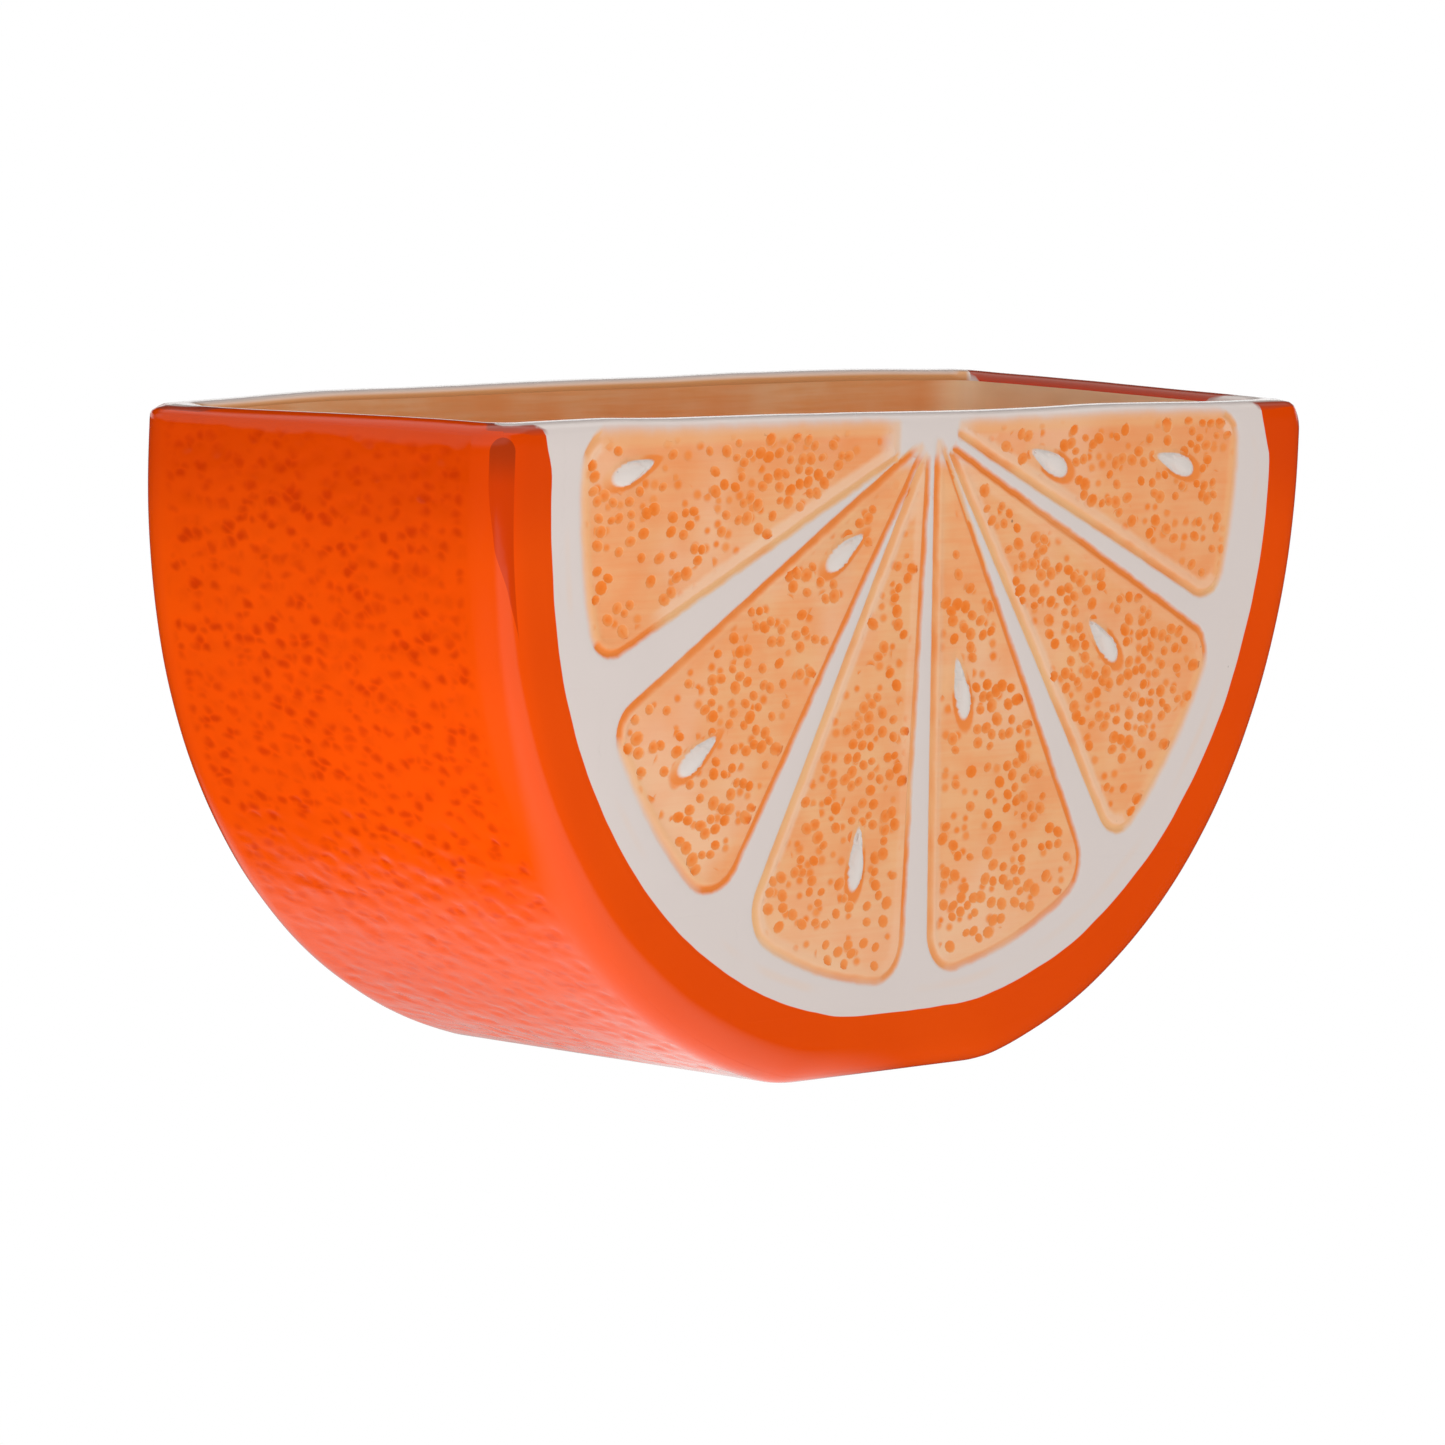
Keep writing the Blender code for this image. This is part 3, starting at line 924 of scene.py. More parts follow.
def paintAttributes(mesh):
    points = readVectors(mesh.vertices, "co") / millimetre
    onCut = np.abs(points[:, 1]) > cutPlane - 1.6
    flat = facePlaces(points[onCut])
    edge, normal = pulpField(flat)
    soft = softSide(normal, flat)
    reach, side = seedField(flat, painting["seedTaper"])
    strength = sidePool(flat)
    cream = smoothStep(strength, 0.85, 0.2) * (1 - soft)
    strength += 0.22 * noiseAt(atDepth(flat), 13.0, 2) + 0.1 * noiseAt(atDepth(flat), 3.0, 3)
    atSeed = 0.52 + 0.5 * (side @ np.array(painting["seedPoolDirection"]))
    pool = np.clip(np.where(reach < 1.7, atSeed, strength), 0.0, 1.0)
    sunk = cutPlane + faceRelief(flat, edge, normal) - np.abs(points[onCut][:, 1])
    for name, values, rest in (
            ("edgeDistance", edge, -20.0), ("seedReach", reach, 9.0), ("poolStrength", pool, 0.0),
            ("softEdge", soft, 0.0), ("creamStrength", cream, 0.0),
            ("dimpleDepth", np.clip(sunk / pulpDimples["depth"], 0.0, 1.0), 0.0)):
        writeAttribute(mesh, name, spreadOut(onCut, values, rest))

    fromOutside, endwards = rimDistance(points)
    rim = points[:, 2] > rimBase + np.where(fromOutside > pot["wall"] / 2, -0.02, 0.02)
    nearFace = rim & (endwards < 0.7)
    rimPaint = spreadOut(nearFace, paintField(facePlaces(points[nearFace])), 20.0)
    lap, endLap, rightLap = painting["rimLap"]
    alongEnd = smoothStep(points[:, 1] * np.sign(points[:, 0]), -24.0, -15.0)
    lapped = lap + (endLap + rightLap * (points[:, 0] > 0)) * endwards ** 8 * alongEnd
    facePaint = spreadOut(onCut, paintField(flat), 20.0)
    rimPaint = np.minimum(rimPaint, lapped - fromOutside)
    writeAttribute(mesh, "paintDistance", np.where(rim, rimPaint, facePaint))
    writeAttribute(mesh, "rimTop", smoothStep(points[:, 2], rimBase + 0.2, rimBase + 0.7))
    innerEdge = smoothStep(pot["wall"] - fromOutside, 1.0, 0.4) * smoothStep(endwards, 0.9, 0.3)
    writeAttribute(mesh, "innerEdge", rim * innerEdge)

    # the way the rounded edge on the left of each cut face points, from 0 in front to 90 degrees outwards,
    # which places the painted dark reflection
    normals = np.abs(readVectors(mesh.vertices, "normal"))
    onEdge = (points[:, 0] * points[:, 1] >= 0) & (np.abs(points[:, 1]) > cutPlane - pot["edgeRadius"] - 0.01)
    turn = np.degrees(np.arctan2(normals[:, 0], normals[:, 1]))
    writeAttribute(mesh, "edgeTurn", np.where(onEdge, turn, -60.0))


clay = {
    "slow": (34.0, 0.16),        # size and amount of the cast form's unevenness
    "quick": (9.0, 0.035),
    "rimWave": (30.0, 0.12),
    "rimEndDrop": 0.4,
    "endRounding": ((2.4, 1.6), (3.8, 2.1)),     # how high and how deep the left and right rims draw in
    "rimFront": ((-82.0, 0.9), (-60.0, 0.8), (-48.0, 0.5), (-22.0, 0.25), (5.0, 0.0), (82.0, 0.2)),
    "rimBack": ((-82.0, -0.7), (-68.0, -0.5), (-50.0, -0.1), (-30.0, 0.0), (15.0, 0.3), (30.0, 0.55),
                (82.0, 0.5)),
}


def unevenCasting(mesh):
    # the whole pot is moved by smooth noise, so that its walls keep their thickness
    points = readVectors(mesh.vertices, "co") / millimetre
    moved = points.copy()
    left, right = clay["endRounding"]
    rounding, drawIn = (np.where(points[:, 0] > 0, *pair) for pair in zip(right, left))
    rise = np.clip((points[:, 2] - pot["height"] + rounding) / rounding, 0.0, 1.0)
    distance, endwards = rimDistance(points)
    crossed = points[:, 0] * points[:, 1] < 0        # the corners that lie to the right of each cut face
    weight = np.where(crossed, smoothStep(endwards, 0.0, 0.55), endwards ** 2)
    draw = drawIn * (1 - np.sqrt(1 - rise ** 2)) * weight * smoothStep(distance, 3.5, 0.8)
    moved[:, 0] -= draw * endwards * np.sign(points[:, 0])
    moved[:, 1] -= draw * np.sqrt(1 - endwards ** 2) * np.sign(points[:, 1])
    front, back = (np.interp(points[:, 0], *zip(*clay[name])) for name in ("rimFront", "rimBack"))
    lift = front + (back - front) * smoothStep(points[:, 1], -26.0, 26.0)
    moved[:, 2] += lift * smoothStep(points[:, 2], 81.4, 84.0)
    foot = smoothStep(points[:, 2], 0.5, 7.0)
    for size, amount in (clay["slow"], clay["quick"]):
        shift = np.array([noise.noise_vector(Vector(point) / size) for point in points]) * amount
        shift[:, 2] *= foot
        moved += shift
    top = smoothStep(points[:, 2], 62.0, 84.0)
    size, amount = clay["rimWave"]
    wave = amount * noiseAt(points * np.array((1.0, 1.0, 0.2)), size, 9)
    drop = clay["rimEndDrop"] * (np.abs(points[:, 0]) / (pot["width"] / 2)) ** 5
    moved[:, 2] += top * (wave - drop - 0.1)
    mesh.vertices.foreach_set("co", (moved * millimetre).ravel())
    mesh.update()


def chooseMaterials(mesh, materials):
    # rind, cut face, inside and dimples, by where each face lies
    centres = readVectors(mesh.polygons, "center") / millimetre
    outwards = centres - (0.0, 0.0, pot["discCentre"])
    facingIn = np.sum(outwards * readVectors(mesh.polygons, "normal"), 1) < 0
    x, y, z = np.abs(centres).T
    withinWalls = (y < cutPlane - pot["wall"] + 0.4) & (x < pot["width"] / 2 - pot["wall"] + 0.4)
    dimple = overFaces(mesh, "dimple", np.maximum) > 0
    besideSeed = overFaces(mesh, "seedReach", np.minimum) < 1.12
    choice = np.where((y > cutPlane - pot["edgeRadius"]) | (z > rimBase), 1, 0)
    choice[withinWalls & facingIn & (z < rimBase)] = 2
    choice[dimple & ~besideSeed] = 3
    mesh.materials.clear()
    for material in materials:
        mesh.materials.append(material)
    mesh.polygons.foreach_set("material_index", choice.astype(np.int32))

    # smooth, but for the rims of the dimples
    edges = readValues(mesh.loops, "edge_index")
    inDimple = np.repeat(dimple, readValues(mesh.polygons, "loop_total"))
    sharp, plain = np.zeros((2, len(mesh.edges)), bool)
    sharp[edges[inDimple]] = True
    plain[edges[~inDimple]] = True
    mesh.shade_smooth()
    attribute = mesh.attributes.get("sharp_edge") or mesh.attributes.new("sharp_edge", "BOOLEAN", "EDGE")
    attribute.data.foreach_set("value", sharp & plain)
    mesh.update()


def objectPlace(tree):
    return addNode(tree, "ShaderNodeTexCoord")["Object"]


def objectAxes(tree):
    return addNode(tree, "ShaderNodeSeparateXYZ", {0: objectPlace(tree)})


def useGroup(tree, group, inputs):
    return addNode(tree, "ShaderNodeGroup", inputs, node_tree=group)


def mixColours(share, first, second):
    return addNode(share.tree, "ShaderNodeMix", {0: share, 6: first, 7: second}, data_type="RGBA")[2]


def objectNoise(tree, scale, detail=2.0, stretch=(1.0, 1.0, 1.0), place=(0.0, 0.0, 0.0)):
    at = addNode(tree, "ShaderNodeMapping", {
        "Vector": objectPlace(tree), "Location": place, "Scale": stretch})[0]
    return addNode(tree, "ShaderNodeTexNoise", {"Vector": at, "Scale": scale, "Detail": detail})["Fac"]


def attributeValue(tree, name):
    return addNode(tree, "ShaderNodeAttribute", attribute_name=name)["Fac"]


def shaderGroup(name, inputs, outputs):
    return newGroup(name, "ShaderNodeTree", inputs, outputs)


def bandMaskGroup():
    # 1 on a line at this distance, falling to 0 on both sides of it
    tree, given, result = shaderGroup("bandMask", {
        "Distance": "Float", "Centre": "Float", "Half Width": "Float", "Softness": "Float"}, {
        "Mask": "Float"})
    gap = abs(given["Distance"] - given["Centre"])
    outer = given["Half Width"] + given["Softness"]
    fill(result["Mask"], ease(gap, given["Half Width"], outer, 1.0, 0.0))
    return tree


def brushedWashGroup():
    # thin colour brushed on in level strokes, blotchy where the brush was wet
    tree, given, result = shaderGroup("brushedWash", {
        "Thin Colour": "Color", "Thick Colour": "Color", "Streaks": "Float"}, {
        "Colour": "Color", "Height": "Float"})
    streak = objectNoise(tree, 1.0, 4.0, (70.0, 70.0, 1500.0))
    blotch = objectNoise(tree, 1.0, 3.0, (110.0, 110.0, 170.0), (3.1, 0.4, 1.7))
    share = ease(streak * given["Streaks"] + blotch * (1.0 - given["Streaks"]), 0.33, 0.67)
    fill(result["Colour"], mixColours(share, given["Thin Colour"], given["Thick Colour"]))
    fill(result["Height"], streak)
    return tree


def glazeSkinGroup():
    # what every fired glaze here has: a little unevenness in tone, gloss and level, and a few dark specks
    tree, given, result = shaderGroup("glazeSkin", {
        "Base Colour": "Color", "Mottle": "Float", "Specks": "Float", "Gloss Roughness": "Float"}, {
        "Colour": "Color", "Roughness": "Float", "Height": "Float"})
    broad = objectNoise(tree, 48.0, 3.0)
    darker = larger((broad - 0.5) * given["Mottle"] * -2.0, 0.0)
    shaded = mixColours(darker, given["Base Colour"], glazes["mottle"])
    cells = addNode(tree, "ShaderNodeTexVoronoi", {"Vector": objectPlace(tree), "Scale": 95.0})
    speck = ease(cells["Distance"], 0.012, 0.026, 1.0, 0.0) * given["Specks"]
    fill(result["Colour"], mixColours(speck, shaded, glazes["speck"]))
    fill(result["Roughness"], (broad - 0.5) * 0.05 + given["Gloss Roughness"])
    fill(result["Height"], objectNoise(tree, 320.0, 1.0))
    return tree


def glazeSpotsGroup():
    # small spots where the glaze has pooled, closer together in some places than in others
    tree, given, result = shaderGroup("glazeSpots", {
        "Per Metre": "Float", "Flatness": "Float", "Share": "Float", "Size": "Float"}, {
        "Mask": "Float", "Tone": "Float"})
    place = objectAxes(tree)
    flat = combine(tree, place["X"], place["Z"] * given["Flatness"])
    cells = addNode(tree, "ShaderNodeTexVoronoi", {
        "Vector": flat, "Scale": given["Per Metre"], "Randomness": 0.95}, voronoi_dimensions="2D")
    chance = addNode(tree, "ShaderNodeSeparateColor", {0: cells["Color"]})
    crowd = ease(objectNoise(tree, 110.0, 1.0), 0.35, 0.65, 0.5, 1.5)
    present = calculate("LESS_THAN", chance[0], given["Share"] * crowd)
    outer = given["Size"] * ease(chance[1], 0.0, 1.0, 0.7, 1.0)
    fill(result["Mask"], ease(cells["Distance"], outer * 0.25, outer, 1.0, 0.0) * present)
    fill(result["Tone"], chance[2])
    return tree


glazes = {
    "orange": (0.86, 0.073, 0.0),
    "orangePale": (0.89, 0.081, 0.0),
    # darker orange: glaze pooled in the rind's pores, and painted shade towards the rim
    "orangeDeep": (0.66, 0.040, 0.0),
    "runTop": (0.45, 0.038, 0.003),      # painted dark reflection down a rounded edge: its colour where it begins, below the rim, and where it ends
    "runEnd": (0.66, 0.046, 0.0),
    # painted shade: a dark line on the rim's top where the orange meets it
    "rimLine": (0.38, 0.06, 0.03),
    "white": (0.77, 0.68, 0.64),
    "seed": (0.80, 0.72, 0.67),
    "washThin": (0.94, 0.49, 0.235),
    "washThick": (0.95, 0.385, 0.155),
    "washTop": (0.95, 0.31, 0.105),
    "cream": (0.96, 0.64, 0.44),
    "tan": (0.93, 0.52, 0.25),
    "pool": (0.95, 0.27, 0.055),
    "dot": (0.96, 0.25, 0.040),
    "dotDeep": (0.94, 0.20, 0.020),
    "dotPale": (0.96, 0.33, 0.095),
    "insideThin": (0.93, 0.56, 0.29),
    "insideThick": (0.90, 0.43, 0.165),
    "insideDeep": (0.88, 0.33, 0.10),
    # the wash on the rim's inner edge, darkened with painted shade
    "insideEdge": (0.70, 0.33, 0.13),
    "insidePale": (1.0, 0.75, 0.48),     # painted light on the inner wall at the right-hand end
    "mottle": (0.12, 0.03, 0.01),
    "speck": (0.13, 0.07, 0.05),
    "rindSheen": (1.0, 0.75, 0.62),
    "indexOfRefraction": 1.4,
}

# Where one glaze gives way to another, in metres; some also give the shares at both places.
reaches = {
    # painted shade on the orange towards the rim, by height
    "orangeDeepens": (0.066, 0.078, 0.0, 0.42),  # heights
    "rindSpots": (0.012, 0.04, 0.35, 1.0),
    "tanLine": (0.080, 0.078),
    "washTop": (0.0745, 0.0815, 0.0, 0.6),
    "washAside": (0.034, 0.05),
    "creamLow": (0.032, 0.016, 0.0, 0.3),
    "paleDotsLow": (0.032, 0.016, 0.0, 0.6),
    "bluntTipsBelow": (0.079, 0.0765),
    # the painted dark reflection on the rounded edge: where it darkens, where it begins, and its left side
    "runDarkens": (0.0765, 0.0815),
    "runBegins": (0.0829, 0.0812),
    "runLeft": ((0.057, 0.066, 19.0, 33.0), (0.064, 0.070, 0.0, 16.0), (0.068, 0.078, 0.0, 10.0)),
    "fromMiddle": (0.028, 0.05, 0.0, 0.28),      # sideways
    "bluntTips": (0.0055, 0.0105),
    # where the painted light on the inner right-hand end wall begins
    "rightEnd": (0.066, 0.0772, 0.0, 0.9),
}
darkReflectionRight = 20.0                  # degrees from the front to the right side of the painted dark reflection; the list for its left side adds up to the same there

# The lines of glaze that follow an outline: their middles, half their widths, and how softly they end.
bands = {
    "tanLine": (-2.8, 0.1, 0.8),
    "paleEdge": (0.7, 0.3, 1.0),
    "creamEdge": (1.2, 0.3, 0.9),
    "groove": (0.05, 0.2, 0.6),
    "seedRing": (1.2, 0.12, 0.26),
    # painted shade along the rim's top
    "rimEdge": (0.9, 0.95, 0.9),
}

bandMask = bandMaskGroup()
brushedWash = brushedWashGroup()
glazeSkin = glazeSkinGroup()
glazeSpots = glazeSpotsGroup()


def bandAt(distance, name):
    centre, halfWidth, softness = bands[name]
    return useGroup(distance.tree, bandMask, {
        "Distance": distance, "Centre": centre, "Half Width": halfWidth, "Softness": softness})["Mask"]


pulpWash = ("washThin", "washThick", 0.32)


def washOf(tree, thin, thick, streaks):
    return useGroup(tree, brushedWash, {
        "Thin Colour": glazes[thin], "Thick Colour": glazes[thick], "Streaks": streaks})


def newMaterial(name):
    material = bpy.data.materials.new(name)
    material.use_nodes = True
    tree = material.node_tree
    shader = tree.nodes["Principled BSDF"]
    shader.inputs["IOR"].default_value = glazes["indexOfRefraction"]
    return material, tree, shader


def finishGlaze(tree, shader, colour, mottle, specks, gloss, ripple, height=None):
    skin = useGroup(tree, glazeSkin, {
        "Base Colour": colour, "Mottle": mottle, "Specks": specks, "Gloss Roughness": gloss})
    fill(shader.inputs["Base Color"], skin["Colour"])
    fill(shader.inputs["Roughness"], skin["Roughness"])
    level = skin["Height"] if height is None else skin["Height"] + height
    relief = addNode(tree, "ShaderNodeBump", {"Distance": ripple, "Height": level})
    fill(shader.inputs["Normal"], relief["Normal"])


def orangeWithTopShade(tree):
    # painted shade: the orange a little darker towards the rim
    drift = objectNoise(tree, 32.0, 2.0, place=(2.0, 5.0, 1.0))
    colour = mixColours(ease(drift, 0.35, 0.65), glazes["orange"], glazes["orangePale"])
    return mixColours(ease(objectAxes(tree)["Z"], *reaches["orangeDeepens"]), colour, glazes["orangeDeep"])


def rindMaterial():
    material, tree, shader = newMaterial("orangeRindGlaze")
    place = objectPlace(tree)
    bent = addNode(tree, "ShaderNodeTexNoise", {"Vector": place, "Scale": 420.0, "Detail": 1.0})["Color"]
    bent = vectors("ADD", place, vectors("SCALE", bent, 0.0016))
    drawn = addNode(tree, "ShaderNodeMapping", {"Vector": bent, "Scale": (1.4, 1.0, 1.4)})[0]
    cells = addNode(tree, "ShaderNodeTexVoronoi", {"Vector": drawn, "Scale": 430.0, "Randomness": 0.9})
    patchy = ease(objectNoise(tree, 150.0, 2.0), 0.34, 0.62, 0.62, 1.2)
    spot = ease(cells["Distance"], 0.05, 0.62, 1.0, 0.0) * patchy
    spot = spot * ease(attributeValue(tree, "poreArea"), 0.0, 1.0)
    dark = larger(attributeValue(tree, "pore") * 0.35, spot)
    dark = dark * ease(objectAxes(tree)["Z"], *reaches["rindSpots"])
    colour = mixColours(dark, orangeWithTopShade(tree), glazes["orangeDeep"])
    peel = objectNoise(tree, 1.0, 1.0, (230.0, 125.0, 230.0), (5.0, 2.0, 7.0))
    finishGlaze(tree, shader, colour, 0.05, 0.0, 0.1, 0.00003, peel * 13.0 - spot)
    fill(shader.inputs["Specular Tint"], glazes["rindSheen"])
    return material


def paintedDarkReflection(tree, height):
    # a painted dark reflection down the rounded edge on the left of each cut face, drawn out to its right
    # below
    first, second, third = (ease(height, *step) for step in reaches["runLeft"])
    left = first + second + third
    gap = abs(attributeValue(tree, "edgeTurn") - (left + darkReflectionRight) * 0.5)
    half = (left - darkReflectionRight) * 0.5 * ease(height, *reaches["runBegins"]) ** 0.25
    return ease(gap - half, -1.0, 0.6, 1.0, 0.0)


def cutFaceMaterial():
    material, tree, shader = newMaterial("cutFaceGlaze")
    edge, paint, reach, pool, soft, cream, rimTop, innerEdge = (attributeValue(tree, name) for name in (
        "edgeDistance", "paintDistance", "seedReach", "poolStrength", "softEdge", "creamStrength",
        "rimTop", "innerEdge"))
    ragged = edge + (objectNoise(tree, 420.0, 2.0) - 0.5) * 0.5
    place = objectAxes(tree)
    aside, height = abs(place["X"]), place["Z"]

    # white, with a broken line of tan round it
    broken = ease(objectNoise(tree, 60.0, 2.0), 0.45, 0.65) * ease(height, *reaches["tanLine"])
    white = mixColours(bandAt(paint, "tanLine") * broken * 0.15, glazes["white"], glazes["tan"])

    # the washed segments: warmer above and aside, thin in places, and spotted
    wash = washOf(tree, *pulpWash)
    sideways = ease(aside, *reaches["fromMiddle"]) * ease(height, *reaches["washAside"])
    warm = larger(ease(height, *reaches["washTop"]), sideways)
    washed = mixColours(warm, wash["Colour"], glazes["washTop"])
    washed = mixColours(ease(height, *reaches["creamLow"]), washed, glazes["cream"])
    thin = ease(objectNoise(tree, 42.0, 2.0, place=(0.3, 0.0, 0.9)), 0.5, 0.68) * 0.45
    washed = mixColours(thin, washed, glazes["cream"])
    spots = useGroup(tree, glazeSpots, {"Per Metre": 480.0, "Flatness": 1.3, "Share": 0.30, "Size": 0.56})
    spot = spots["Mask"] * ease(edge + soft * 0.9, 1.1, 1.9) * ease(reach, 1.3, 1.6)
    washed = mixColours(spot, washed, mixColours(spots["Tone"], glazes["dot"], glazes["dotPale"]))
    blunt = larger(ease(aside, *reaches["bluntTips"]), ease(height, *reaches["bluntTipsBelow"]))
    inside = ease(ragged, -0.15 - soft * 0.85, soft * 0.5 + 0.5) * blunt
    face = mixColours(inside, white, washed)

    # glaze pooled in the grooves and round the seeds
    face = mixColours(bandAt(ragged, "paleEdge") * soft * 0.5, face, glazes["tan"])
    face = mixColours(bandAt(ragged, "creamEdge") * cream * 0.7, face, glazes["cream"])
    pooled = mixColours(ease(pool, 0.15, 0.8), glazes["tan"], glazes["pool"])
    face = mixColours(bandAt(ragged, "groove") * (1.0 - soft), face, pooled)
    pooled = mixColours(ease(pool, 0.15, 0.6), glazes["tan"], glazes["pool"])
    face = mixColours(bandAt(reach, "seedRing") * ease(pool, 0.15, 0.55, 0.2, 0.95), face, pooled)
    face = mixColours(ease(reach, 0.9, 1.1, 1.0, 0.0), face, glazes["seed"])

    # the wash at the rim's inner edge, darkened with painted shade, the orange round the face, and a dark
    # line of painted shade where it meets the rim
    # the wash lapping onto the rim's inner edge, darkened with painted shade
    face = mixColours(innerEdge, face, glazes["insideEdge"])
    # painted dark reflection: a darker streak of orange down the rounded edge, darkest just below the rim
    run = mixColours(ease(height, *reaches["runDarkens"]), glazes["runEnd"], glazes["runTop"])
    orange = mixColours(paintedDarkReflection(tree, height), orangeWithTopShade(tree), run)
    face = mixColours(ease(paint, -0.05, 0.07), face, orange)
    # painted shade along the top of the rim
    face = mixColours(bandAt(paint, "rimEdge") * rimTop, face, glazes["rimLine"])
    finishGlaze(tree, shader, face, 0.05, 0.6, 0.11, 0.00003, wash["Height"] * inside * 1.4 - spot * 2.0)
    return material


def dotMaterial():
    material, tree, shader = newMaterial("pooledDotGlaze")
    depth = attributeValue(tree, "dimpleDepth")
    tone = ease(objectNoise(tree, 230.0, 1.0), 0.4, 0.66, 1.0, 0.0)
    pooled = mixColours(tone, glazes["dot"], glazes["dotPale"])
    pooled = mixColours(ease(depth, 0.6, 1.0, 0.0, 0.7), pooled, glazes["dotDeep"])
    pooled = mixColours(ease(objectAxes(tree)["Z"], *reaches["paleDotsLow"]), pooled, glazes["dotPale"])
    colour = mixColours(ease(depth, 0.0, 0.6), washOf(tree, *pulpWash)["Colour"], pooled)
    finishGlaze(tree, shader, colour, 0.05, 0.0, 0.11, 0.00002)
    shader.inputs["Specular IOR Level"].default_value = 0.3
    return material


def insideMaterial():
    material, tree, shader = newMaterial("insideBrushedWash")
    wash = washOf(tree, "insideThin", "insideThick", 0.5)
    blotch = ease(objectNoise(tree, 36.0, 2.0, (1.0, 1.0, 0.6), (4.0, 0.0, 2.0)), 0.48, 0.7, 0.0, 0.6)
    colour = mixColours(blotch, wash["Colour"], glazes["insideDeep"])
    # painted light: the inner right-hand end wall made paler
    colour = mixColours(ease(objectAxes(tree)["X"], *reaches["rightEnd"]), colour, glazes["insidePale"])
    finishGlaze(tree, shader, colour, 0.08, 0.5, 0.22, 0.00003, wash["Height"])
    return material


def dressPlanter():
    planter = buildShell()
    scatterAreas(planter.data)
    materials = [rindMaterial(), cutFaceMaterial(), insideMaterial(), dotMaterial()]
    runTree(planter, poreTree(), {
        "Spacing": rindPores["spacing"] * millimetre, "Pore Width": rindPores["width"] * millimetre,
        "Pore Depth": rindPores["depth"] * millimetre, "Flatness": rindPores["flatness"],
        "Seed": rindPores["seed"], "Rind Glaze": materials[0]})
    runTree(planter, dimpleTree(), {
        "Spacing": pulpDimples["spacing"] * millimetre, "Lift": pulpDimples["lift"],
        "Density": pulpDimples["perSquareMillimetre"] / millimetre ** 2,
        "Radius": pulpDimples["radius"] * millimetre, "Depth": pulpDimples["depth"] * millimetre,
        "Seed": pulpDimples["seed"], "Dot Glaze": materials[3]})
    paintAttributes(planter.data)
    chooseMaterials(planter.data, materials)
    unevenCasting(planter.data)
    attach(planter, "root")
    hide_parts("planter")
    return planter


planter = dressPlanter()

view = {
    "aim": (-12.17, -8.09, 43.47),
    "distance": 1138.684,
    "yaw": 50.753,               # the camera looks this far to the right of +Y
    "down": 5.662,
    "roll": 2.432,
    "lens": 224.22,
    "sensor": 36.0,
}

studio = {
    "floorSize": 24.0,           # metres, as all lengths here
    "floorGlow": 1.07,           # light that the white table gives to matt surfaces
    "leftGlow": 1.4,             # how much more a patch of it gives, in front on the left
    "leftPlace": (-0.169, -0.036, 0.0),
    "leftReach": (0.065, 0.095),
    "belowGlow": 0.14,           # and one just beside the base
    "belowPlace": (-0.055, 0.0, 0.0),
    "belowReach": (0.025, 0.065),
    "stripGlow": 1.0,            # the strip of bright table that the glaze reflects
    "stripPlace": -0.025,
    "stripSlant": 0.404,
    "stripReach": ((0.018, 0.052), (0.008, 0.044)),      # to its left, where it widens, and its right
    "stripWidening": (0.45, 0.75),
    "stripEnds": ((0.06, 0.12), (-0.05, -0.16), (-0.33, -0.40)),
    "stripFar": 0.95,
    "tableMirrored": (0.02, -0.03, 0.01),    # the table to its right, and from where on
    "underPot": ((-0.060, -0.036), (-0.02, 0.01), 0.45),     # where the pot shades the table, and how much
    "frontHorizon": 0.55,        # the room's light from the front, level with the pot, and from overhead
    "overhead": 2.4,
    "mirroredTop": (0.5, 0.72, 0.9),     # what the glaze reflects of the room, by direction: bright overhead,
    "mirroredLeft": ((-0.1, -0.45), (0.02, 0.25), 0.8),          # on the left, and low down behind
    "mirroredBack": ((-0.3, 0.2), (-0.1, 0.3), (0.22, 0.12)),
}


def placeCamera():
    yaw, down, roll = (math.radians(view[name]) for name in ("yaw", "down", "roll"))
    forward = Vector((math.sin(yaw) * math.cos(down), math.cos(yaw) * math.cos(down), -math.sin(down)))
    level = Vector((math.cos(yaw), -math.sin(yaw), 0.0))
    lower = forward.cross(level)
    across = math.cos(roll) * level - math.sin(roll) * lower
    below = math.cos(roll) * lower + math.sin(roll) * level
    lens = bpy.data.cameras.new("camera")
    lens.lens = view["lens"]
    lens.sensor_width = view["sensor"]
    lens.clip_end = 60.0
    camera = bpy.data.objects.new("camera", lens)
    bpy.context.scene.collection.objects.link(camera)
    turn = Matrix((across, -below, -forward)).transposed().to_4x4()
    aim = Vector(view["aim"]) * millimetre
    camera.matrix_world = Matrix.Translation(aim - forward * view["distance"] * millimetre) @ turn
    bpy.context.scene.camera = camera


def byRay(tree, seen, mirrored, spread):
    # one strength for the camera, one for reflections in the glaze, one for the light on matt surfaces
    rays = addNode(tree, "ShaderNodeLightPath")
    strength = spread
    for ray, value in (("Is Glossy Ray", mirrored), ("Is Camera Ray", seen)):
        strength = addNode(tree, "ShaderNodeMix", {0: rays[ray], 2: strength, 3: value})[0]
    return strength


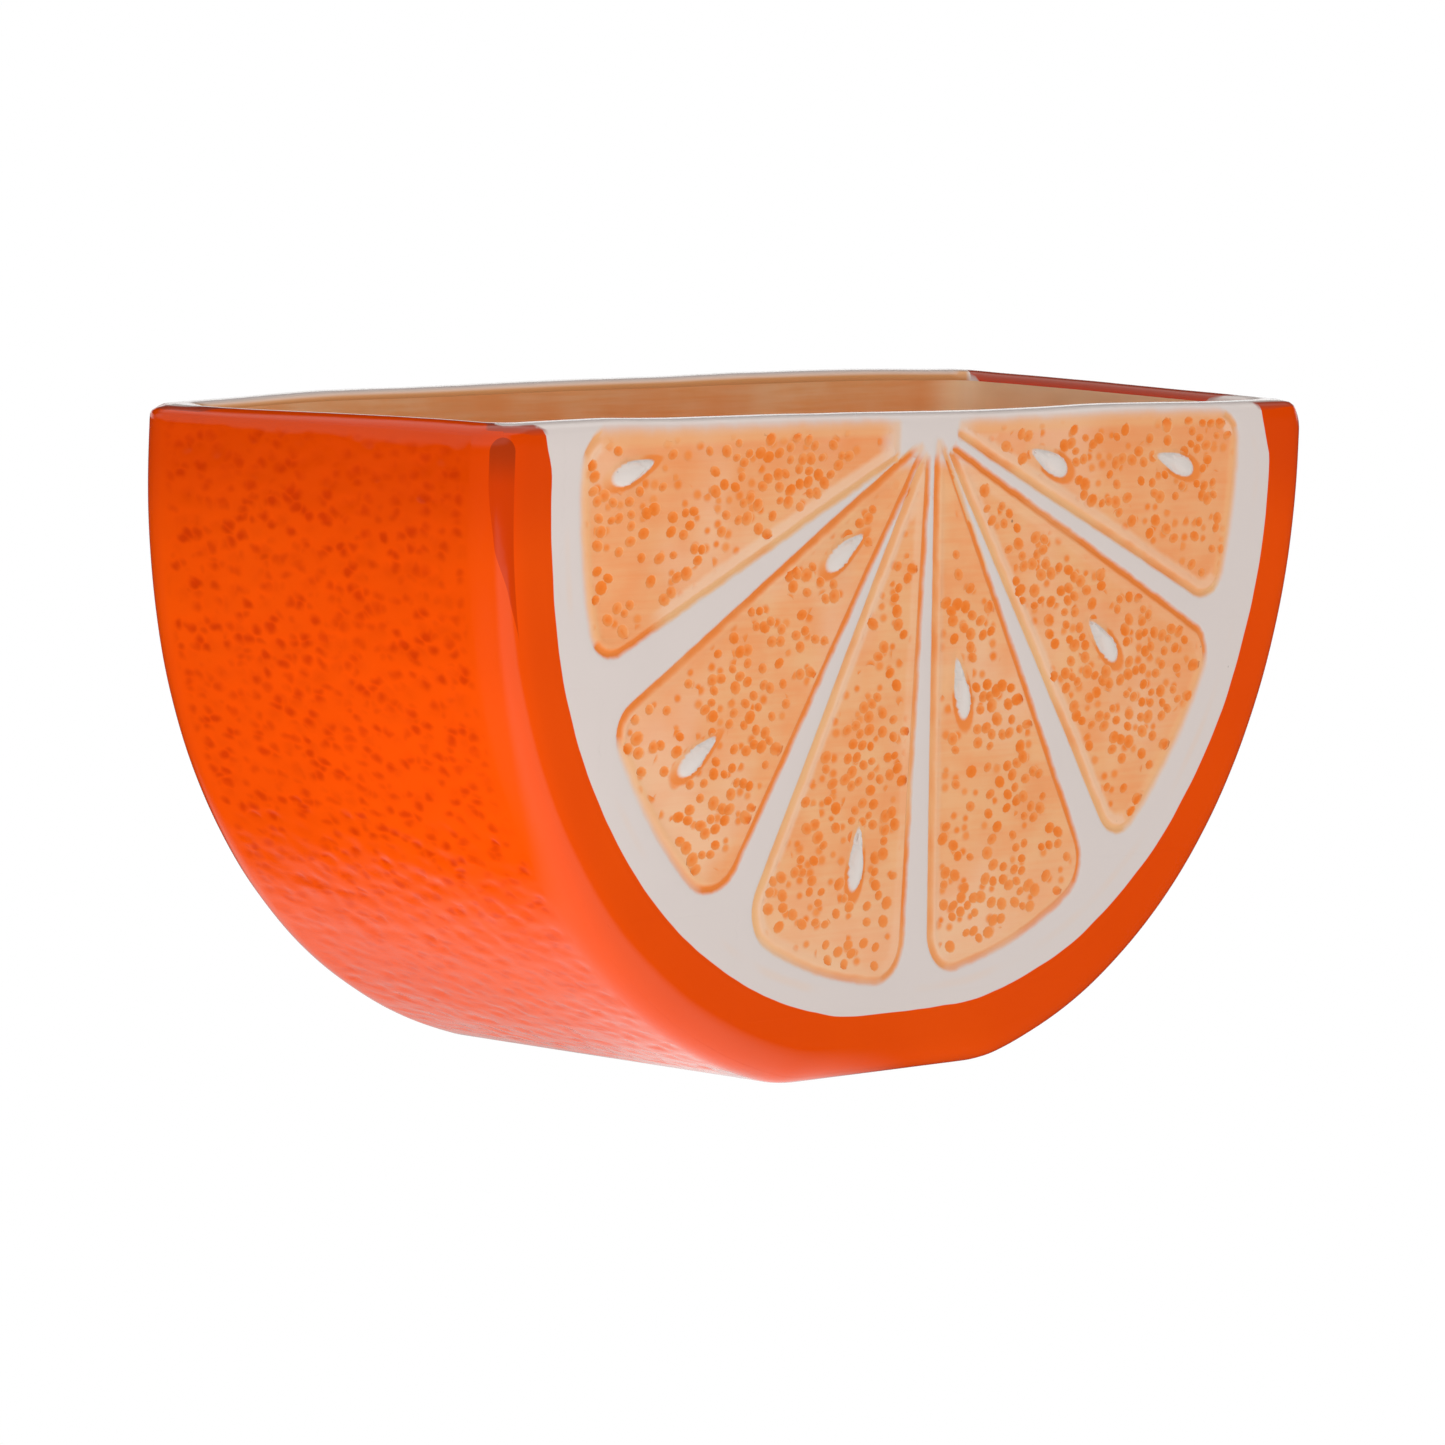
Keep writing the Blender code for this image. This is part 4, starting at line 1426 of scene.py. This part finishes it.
def buildStudio():
    floor = bpy.data.meshes.new("floor")
    half = studio["floorSize"] / 2
    corners = [(-half, -half, 0), (half, -half, 0), (half, half, 0), (-half, half, 0)]
    floor.from_pydata(corners, [], [(0, 1, 2, 3)])
    table = bpy.data.objects.new("floor", floor)
    bpy.context.scene.collection.objects.link(table)
    material = bpy.data.materials.new("paleTable")
    material.use_nodes = True
    tree = material.node_tree
    tree.nodes.clear()
    spread = studio["floorGlow"]
    for name in ("left", "below"):
        distance = vectors("DISTANCE", objectPlace(tree), studio[name + "Place"])
        spread = ease(distance, *studio[name + "Reach"], studio[name + "Glow"], 0.0) + spread
    place = objectAxes(tree)
    forwards = calculate("MINIMUM", place["Y"], 0.0)
    middle = forwards * studio["stripSlant"] + studio["stripPlace"]
    aside = place["X"] - middle
    left, right = studio["stripReach"]
    strip = ease(aside, *right, studio["stripGlow"], 0.0)
    inner, outer = (forwards * growth - start for start, growth in zip(left, studio["stripWidening"]))
    strip = strip * ease(aside, outer, inner)
    back, near, far = studio["stripEnds"]
    strip = strip * ease(place["Y"], *back, 1.0, 0.0) * ease(place["Y"], *near, 1.0, studio["stripFar"])
    inwards, away, shade = studio["underPot"]
    under = ease(place["X"], *inwards) * ease(place["Y"], *away, 0.0, shade)
    strip = strip * ease(place["Y"], *far, 1.0, 0.0) * (1.0 - under)
    level, *start = studio["tableMirrored"]
    strip = larger(strip, ease(place["X"], *start, 0.0, level))
    light = addNode(tree, "ShaderNodeEmission", {
        "Color": (1.0, 1.0, 1.0), "Strength": byRay(tree, 1.0, strip, spread)})
    addNode(tree, "ShaderNodeOutputMaterial", {"Surface": light[0]})
    floor.materials.append(material)

    world = bpy.data.worlds.new("studioRoom")
    world.use_nodes = True
    bpy.context.scene.world = world
    tree = world.node_tree
    direction = addNode(tree, "ShaderNodeTexCoord")["Generated"]
    turned = addNode(tree, "ShaderNodeSeparateXYZ", {0: direction})
    level = ease(turned["Y"], 0.2, -0.9, 0.0, studio["frontHorizon"])
    level = turned["Z"] ** 5.0 * studio["overhead"] + level
    low, high, bright = studio["mirroredTop"]
    top = ease(turned["Z"], low, high, 0.0, bright)
    across, up, bright = studio["mirroredLeft"]
    left = ease(turned["X"], *across, 0.0, bright) * ease(turned["Z"], *up)
    across, away, up = studio["mirroredBack"]
    behind = ease(turned["X"], *across) * ease(turned["Y"], *away) * ease(turned["Z"], *up)
    room = tree.nodes["Background"].inputs
    fill(room["Color"], (1.0, 1.0, 1.0))
    fill(room["Strength"], byRay(tree, 1.0, larger(larger(top, left), behind), level))
    bpy.context.scene.view_settings.view_transform = "Standard"
    print("studio: a white lit table and a room bright overhead")


placeCamera()
buildStudio()
